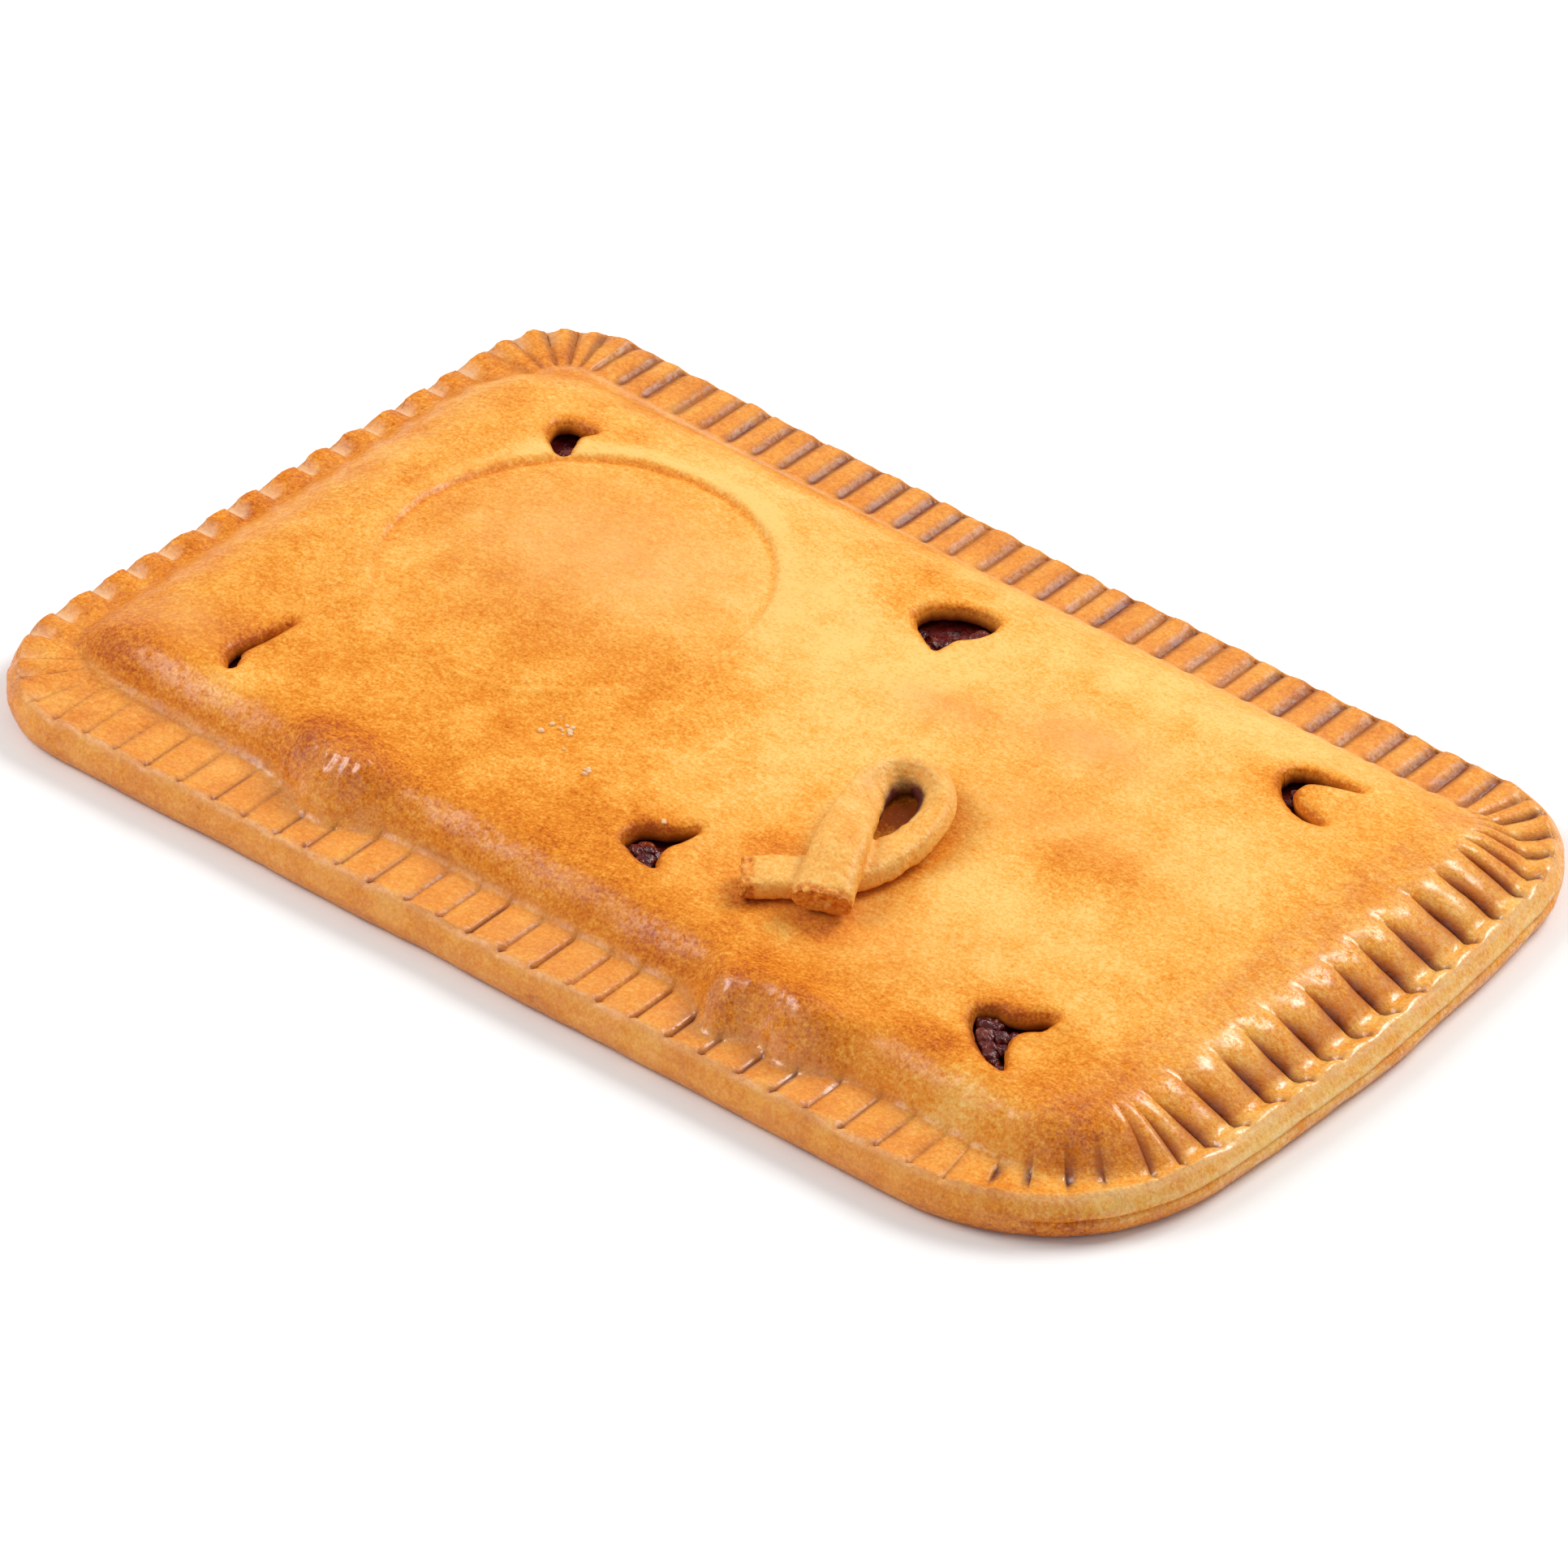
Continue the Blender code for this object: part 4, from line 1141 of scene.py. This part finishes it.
def crust_material(colours, skin):
    material, tree, shader, place = new_material("baked_crust")
    baked = place_group(tree, colours, Vector=place, Browning=read_attribute(tree, "toast"), Grain=1.0)
    colour = baked.outputs["Color"]
    mottle = add_noise(tree, place, 300.0, 4.0, 0.7)
    # The crease tint is painted shade in the grooves; the flour tint is pale dough plus a painted highlight
    # along the edge ridge
    for name, least, tint in (("rosy", 0.3, ROSE), ("flour_and_highlight", 0.45, FLOUR_AND_HIGHLIGHT), ("crease", 0.4, CREASE_SHADE)):
        amount = read_attribute(tree, name)
        mask = add_math(tree, "MULTIPLY", amount, add_math(tree, "ADD", mottle, least), clamp=True)
        colour = add_mix(tree, mask, colour, tint)
    # The dark juice tint is juice deep in the vents and painted shade in the hollow inside the ribbon's loop
    for name, tint in (("raw", RAW), ("juice_and_shade", JUICE_AND_SHADE)):
        colour = add_mix(tree, read_attribute(tree, name), colour, tint)
    tree.links.new(colour, shader.inputs["Base Color"])
    shader.inputs["Specular IOR Level"].default_value = 0.15
    rough = add_math(tree, "ADD", add_math(tree, "MULTIPLY", mottle, 0.25), 0.38)
    tree.links.new(rough, shader.inputs["Roughness"])
    glazed = read_attribute(tree, "gloss")
    threads = add_noise(tree, place, 950.0, 4.0, 0.7, 0.6)
    halves = [add_math(tree, "MULTIPLY", noise, 0.5) for noise in (mottle, threads)]
    sheen = add_math(tree, "ADD", *halves)
    broken = add_math(tree, "MULTIPLY", add_math(tree, "SUBTRACT", sheen, 0.42), 7.0, clamp=True)
    tree.links.new(add_math(tree, "MULTIPLY", glazed, broken, clamp=True), shader.inputs["Coat Weight"])
    shader.inputs["Coat Roughness"].default_value = 0.22
    shader.inputs["Coat IOR"].default_value = 1.7
    roughen = add_math(tree, "ADD", add_math(tree, "MULTIPLY", glazed, 0.8), 1.0)
    height = place_group(tree, skin, Vector=place, Roughen=roughen).outputs["Height"]
    add_bump(tree, shader, height, strength=0.6, distance=0.0004)
    return material


def ribbon_material(colours, skin):
    material, tree, shader, place = new_material("pale_dough")
    baked = place_group(tree, colours, Vector=place, Browning=read_attribute(tree, "toast"), Grain=0.9)
    # The dark tint here is painted shade inside the ribbon's loop
    colour = add_mix(tree, read_attribute(tree, "juice_and_shade"), baked.outputs["Color"], JUICE_AND_SHADE)
    tree.links.new(colour, shader.inputs["Base Color"])
    shader.inputs["Roughness"].default_value = 0.5
    height = place_group(tree, skin, Vector=place, Roughen=1.2).outputs["Height"]
    add_bump(tree, shader, height, strength=0.7, distance=0.0004)
    return material


def filling_material(skin):
    material, tree, shader, place = new_material("tuna_filling")
    lumps = add_noise(tree, place, 260.0, 4.0, 0.6)
    colour = add_ramp(tree, lumps, [(0.3, DARK_TUNA), (0.55, RED_TUNA), (0.75, TOMATO)])
    tree.links.new(colour, shader.inputs["Base Color"])
    shader.inputs["Roughness"].default_value = 0.18
    height = place_group(tree, skin, Vector=place, Roughen=1.0).outputs["Height"]
    add_bump(tree, shader, height, strength=0.8, distance=0.0006)
    return material


# The ribbon of dough, on its solid's path: x, y, lift over the dough below, turn in degrees, size
RIBBON_PATH = (
    (45.2, -43.0, 0.4, 0.0, 1.36),
    (42.6, -37.4, 2.6, 0.0, 1.30),
    (39.6, -31.0, 4.4, 3.0, 1.20),
    (36.0, -24.0, 3.4, 10.0, 1.10),
    (32.6, -16.8, 1.6, 24.0, 1.00),
    (30.2, -9.8, 0.3, 42.0, 0.95),
    (30.8, -4.6, 0.0, 58.0, 0.86),
    (35.4, -2.8, 0.0, 60.0, 0.86),
    (41.0, -5.6, 0.0, 48.0, 0.92),
    (44.8, -11.6, 0.0, 34.0, 1.00),
    (45.8, -19.0, 0.0, 20.0, 1.08),
    (44.2, -27.0, 0.0, 8.0, 1.12),
    (40.9, -34.0, 0.0, 0.0, 1.12),
    (36.4, -39.0, 0.0, 0.0, 1.10),
    (31.8, -42.4, 0.0, 0.0, 1.12),
    (28.2, -45.4, 0.0, 0.0, 1.10),
)
RIBBON_WIDTH = 8.4
RIBBON_THICKNESS = 4.6
RIBBON_CLEARANCE = 0.1
# How far back from its first and from its last end the ribbon is torn and browned
RIBBON_CRUMBLE = {0: 1.2, -1: 3.0}
RIBBON_END_REACH = 8.5
# The size of the cells that its skin is made even with
SKIN_CELL = 0.42


def ribbon_section(sides):
    """The ribbon's cut end, a rounded oblong."""
    points = []
    for index in range(sides):
        angle = 2 * math.pi * (index + 0.5) / sides
        across = math.copysign(abs(math.cos(angle)) ** 0.6, math.cos(angle))
        up = math.copysign(abs(math.sin(angle)) ** 0.6, math.sin(angle))
        points.append((across * RIBBON_WIDTH / 2, up * RIBBON_THICKNESS / 2))
    return points


def smooth_path(steps):
    """The ribbon's path, smoothed between its given points."""
    given = np.array(RIBBON_PATH)
    ends = np.vstack([2 * given[0] - given[1], given, 2 * given[-1] - given[-2]])
    made = []
    for index in range(1, len(ends) - 2):
        made += spline_stretch(*ends[index - 1 : index + 3], steps)
    made.append(given[-1])
    return np.array(made)


def resting_height(x, y, along, turn, wide):
    """How high the ribbon's middle stands when its lowest side just clears the dough below."""
    side = np.array([along[1], -along[0]]) / math.hypot(*along)
    needed = []
    for across, up in ribbon_section(12):
        out = (across * math.cos(turn) - up * math.sin(turn)) * wide
        lift = (across * math.sin(turn) + up * math.cos(turn)) * wide
        needed.append(float(top_height(x + side[0] * out, y + side[1] * out)) - lift)
        needed.append(float(top_height(x - side[0] * out, y - side[1] * out)) - lift)
    return max(needed) + RIBBON_CLEARANCE


def section_curve():
    section = bpy.data.curves.new("ribbon_section", "CURVE")
    section.dimensions = "2D"
    line = section.splines.new("POLY")
    points = ribbon_section(28)
    line.points.add(len(points) - 1)
    for place, (across, up) in zip(line.points, points):
        place.co = (across * MM, up * MM, 0.0, 1.0)
    line.use_cyclic_u = True
    return add_object("ribbon_section", section)


def sweep_ribbon(path):
    """Carries the section along the path, turned and sized as the path says, and makes it a mesh."""
    section = section_curve()
    curve = bpy.data.curves.new("dough_ribbon_line", "CURVE")
    curve.dimensions = "3D"
    curve.twist_mode = "Z_UP"
    curve.bevel_mode = "OBJECT"
    curve.bevel_object = section
    curve.use_fill_caps = True
    spline = curve.splines.new("POLY")
    spline.points.add(len(path) - 1)
    steps = np.gradient(path[:, :2], axis=0)
    for place, along, (x, y, over, degrees, size) in zip(spline.points, steps, path):
        turn = math.radians(degrees)
        z = resting_height(x, y, along, turn, size) + over
        place.co = ((x - CENTRE[0]) * MM, (y - CENTRE[1]) * MM, z * MM, 1.0)
        place.radius = size
        place.tilt = turn
    make_active(add_object("dough_ribbon_line", curve))
    bpy.ops.object.convert(target="MESH")
    ribbon = name_new("ribbon_of_dough")
    bpy.data.objects.remove(section)
    return ribbon


def torn_ends(x, y, path):
    """1 at the ribbon's two torn ends and 0 elsewhere."""
    ends = 0.0
    for index, beyond in ((0, 1), (-1, -2)):
        outward = path[index, :2] - path[beyond, :2]
        outward = outward / np.linalg.norm(outward)
        from_x, from_y = x + CENTRE[0] - path[index, 0], y + CENTRE[1] - path[index, 1]
        along = from_x * outward[0] + from_y * outward[1]
        near = np.hypot(from_x, from_y) < RIBBON_END_REACH
        ends = ends + smooth((along + RIBBON_CRUMBLE[index]) / 1.2) * near
    return np.clip(ends, 0, 1)


def roughen_ribbon(ribbon, path):
    """Makes the skin even, then gives it low bumps and crumbles its ends. Returns where it is torn."""
    remesh = ribbon.modifiers.new("even_skin", "REMESH")
    remesh.mode = "VOXEL"
    remesh.voxel_size = SKIN_CELL * MM
    bpy.ops.object.modifier_apply(modifier=remesh.name)
    points = read_points(ribbon.data)
    normals = np.empty(len(points) * 3)
    ribbon.data.vertices.foreach_get("normal", normals)
    x, y, z = points.T
    ends = torn_ends(x, y, path)
    bumps = 0.12 * ripple(x + z, y - z, 5.0, 61) + 0.05 * ripple(x - z, y + z * 1.3, 1.8, 62)
    coarse = 0.3 * ripple(x + z * 0.7, y + z * 1.2, 2.6, 64)
    crumbs = coarse + 0.25 * ripple(x - z, y + z * 1.9, 1.3, 65) - 0.3
    points += normals.reshape(-1, 3) * (bumps + ends * crumbs)[:, None]
    write_points(ribbon.data, points)
    return points, ends


def paint_ribbon(ribbon, points, ends):
    """Browns the ribbon's low parts and torn ends, and paints shade on the inside of its loop."""
    x, y, z = points.T
    # Painted shade on the low inner walls of the ribbon's loop, carried in the dark juice tint
    shade = np.clip(1.25 - np.hypot((x + CENTRE[0] - 38.4) / 7.4, (y + CENTRE[1] + 12.4) / 9.6), 0, 1)
    low = smooth((22.6 - z) / 2.4)
    toast = 0.24 + 0.06 * ripple(x, y, 9.0, 63) + 0.16 * (1 - smooth((z - 18.4) / 1.6))
    toast += ends * (0.3 + 0.2 * ripple(x + z, y - z, 1.8, 66))
    put_attribute(ribbon.data, "toast", np.clip(toast, 0, 1))
    put_attribute(ribbon.data, "juice_and_shade", np.clip(2.4 * shade * low, 0, 1))


def build_ribbon():
    path = smooth_path(5)
    ribbon = sweep_ribbon(path)
    apply_to_all(merge_doubles, turn_outward)
    points, ends = roughen_ribbon(ribbon, path)
    paint_ribbon(ribbon, points, ends)
    bpy.ops.object.shade_smooth()
    return ribbon


def add_bit(x, y, depth, size, seed):
    """One flake of tuna or tomato, a small lump pressed out of round."""
    height = float(top_height(x, y)) - depth
    clear_selection()
    bpy.ops.mesh.primitive_ico_sphere_add(subdivisions=4, radius=size * MM)
    bit = name_new("bit_of_filling")
    points = read_points(bit.data)
    lump = 1 + 0.22 * ripple(points[:, 0] * 2 + points[:, 2], points[:, 1] * 2, size * 2.2, seed)
    points = points * lump[:, None] * [1.0, 0.85, 0.6]
    write_points(bit.data, points + [x - CENTRE[0], y - CENTRE[1], height - 0.3 * size])
    return bit


def build_filling():
    slab = filling_slab("tuna_and_tomato", 0.0, SLAB_CELLS)
    points = read_points(slab.data)
    x, y = points[:, 0], points[:, 1]
    upper = points[:, 2] > BOTTOM_DOUGH + 1.0
    chunks = 0.5 * np.abs(ripple(x, y, 6.0, 71)) + 0.25 * ripple(x, y, 2.5, 72)
    points[upper, 2] -= 0.2 + np.clip(0.8 + chunks[upper], 0, None)
    write_points(slab.data, points)
    bits = [add_bit(*bit, 90 + index) for index, bit in enumerate(FILLING_BITS)]
    join_into(slab, bits)
    bpy.ops.object.shade_smooth()
    return slab


# Stage, light and camera

FLOOR_SIZE = 6.0
FLOOR_DROP = 0.0002
WORLD_STRENGTH = 0.45


def build_stage():
    clear_selection()
    bpy.ops.mesh.primitive_plane_add(size=FLOOR_SIZE, location=(0, 0, -FLOOR_DROP))
    floor = name_new("studio_floor")
    material, _, shader, _ = new_material("white_floor")
    shader.inputs["Base Color"].default_value = (0.93, 0.93, 0.93, 1.0)
    shader.inputs["Roughness"].default_value = 0.9
    floor.data.materials.append(material)


def aim(thing, target):
    direction = Vector(target) - thing.location
    thing.rotation_euler = direction.to_track_quat("-Z", "Y").to_euler()


def add_softbox(name, place, size, power):
    light = bpy.data.lights.new(name, "AREA")
    light.shape = "RECTANGLE"
    light.size = size[0]
    light.size_y = size[1]
    light.energy = power
    holder = add_object(name, light)
    holder.location = place
    aim(holder, (0, 0, 0))


def build_light():
    world = bpy.data.worlds.new("studio")
    bpy.context.scene.world = world
    world.use_nodes = True
    back = world.node_tree.nodes["Background"]
    back.inputs["Color"].default_value = (1.0, 1.0, 1.0, 1.0)
    back.inputs["Strength"].default_value = WORLD_STRENGTH
    add_softbox("softbox_left", (-0.75, -0.55, 0.95), (0.7, 0.7), 8.0)
    add_softbox("softbox_back", (0.35, 0.85, 1.0), (0.7, 0.5), 12.0)


def build_camera():
    azimuth, elevation = math.radians(CAMERA_AZIMUTH), math.radians(CAMERA_ELEVATION)
    back = Vector((
        math.sin(azimuth) * math.cos(elevation),
        -math.cos(azimuth) * math.cos(elevation),
        math.sin(elevation),
    ))
    target = Vector((-CENTRE[0] * MM, -CENTRE[1] * MM, 0.0))
    data = bpy.data.cameras.new("camera")
    data.lens = CAMERA_LENS
    data.sensor_width = CAMERA_SENSOR
    data.shift_x, data.shift_y = CAMERA_SHIFT
    camera = add_object("camera", data)
    camera.location = target + back * CAMERA_DISTANCE
    aim(camera, target)
    bpy.context.scene.camera = camera


def give_material(piece, material):
    piece.data.materials.clear()
    piece.data.materials.append(material)
    for polygon in piece.data.polygons:
        polygon.material_index = 0


def main():
    bpy.context.scene.view_settings.view_transform = "Standard"
    build_camera()
    build_light()
    build_stage()
    colours = baked_colour_group()
    skin = dough_skin_group()
    crust = build_crust()
    give_material(crust, crust_material(colours, skin))
    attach(crust, "root")
    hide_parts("crust")
    filling = build_filling()
    give_material(filling, filling_material(skin))
    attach(filling, "root")
    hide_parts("filling")
    ribbon = build_ribbon()
    give_material(ribbon, ribbon_material(colours, skin))
    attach(ribbon, "root")
    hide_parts("dough_ribbon")


main()
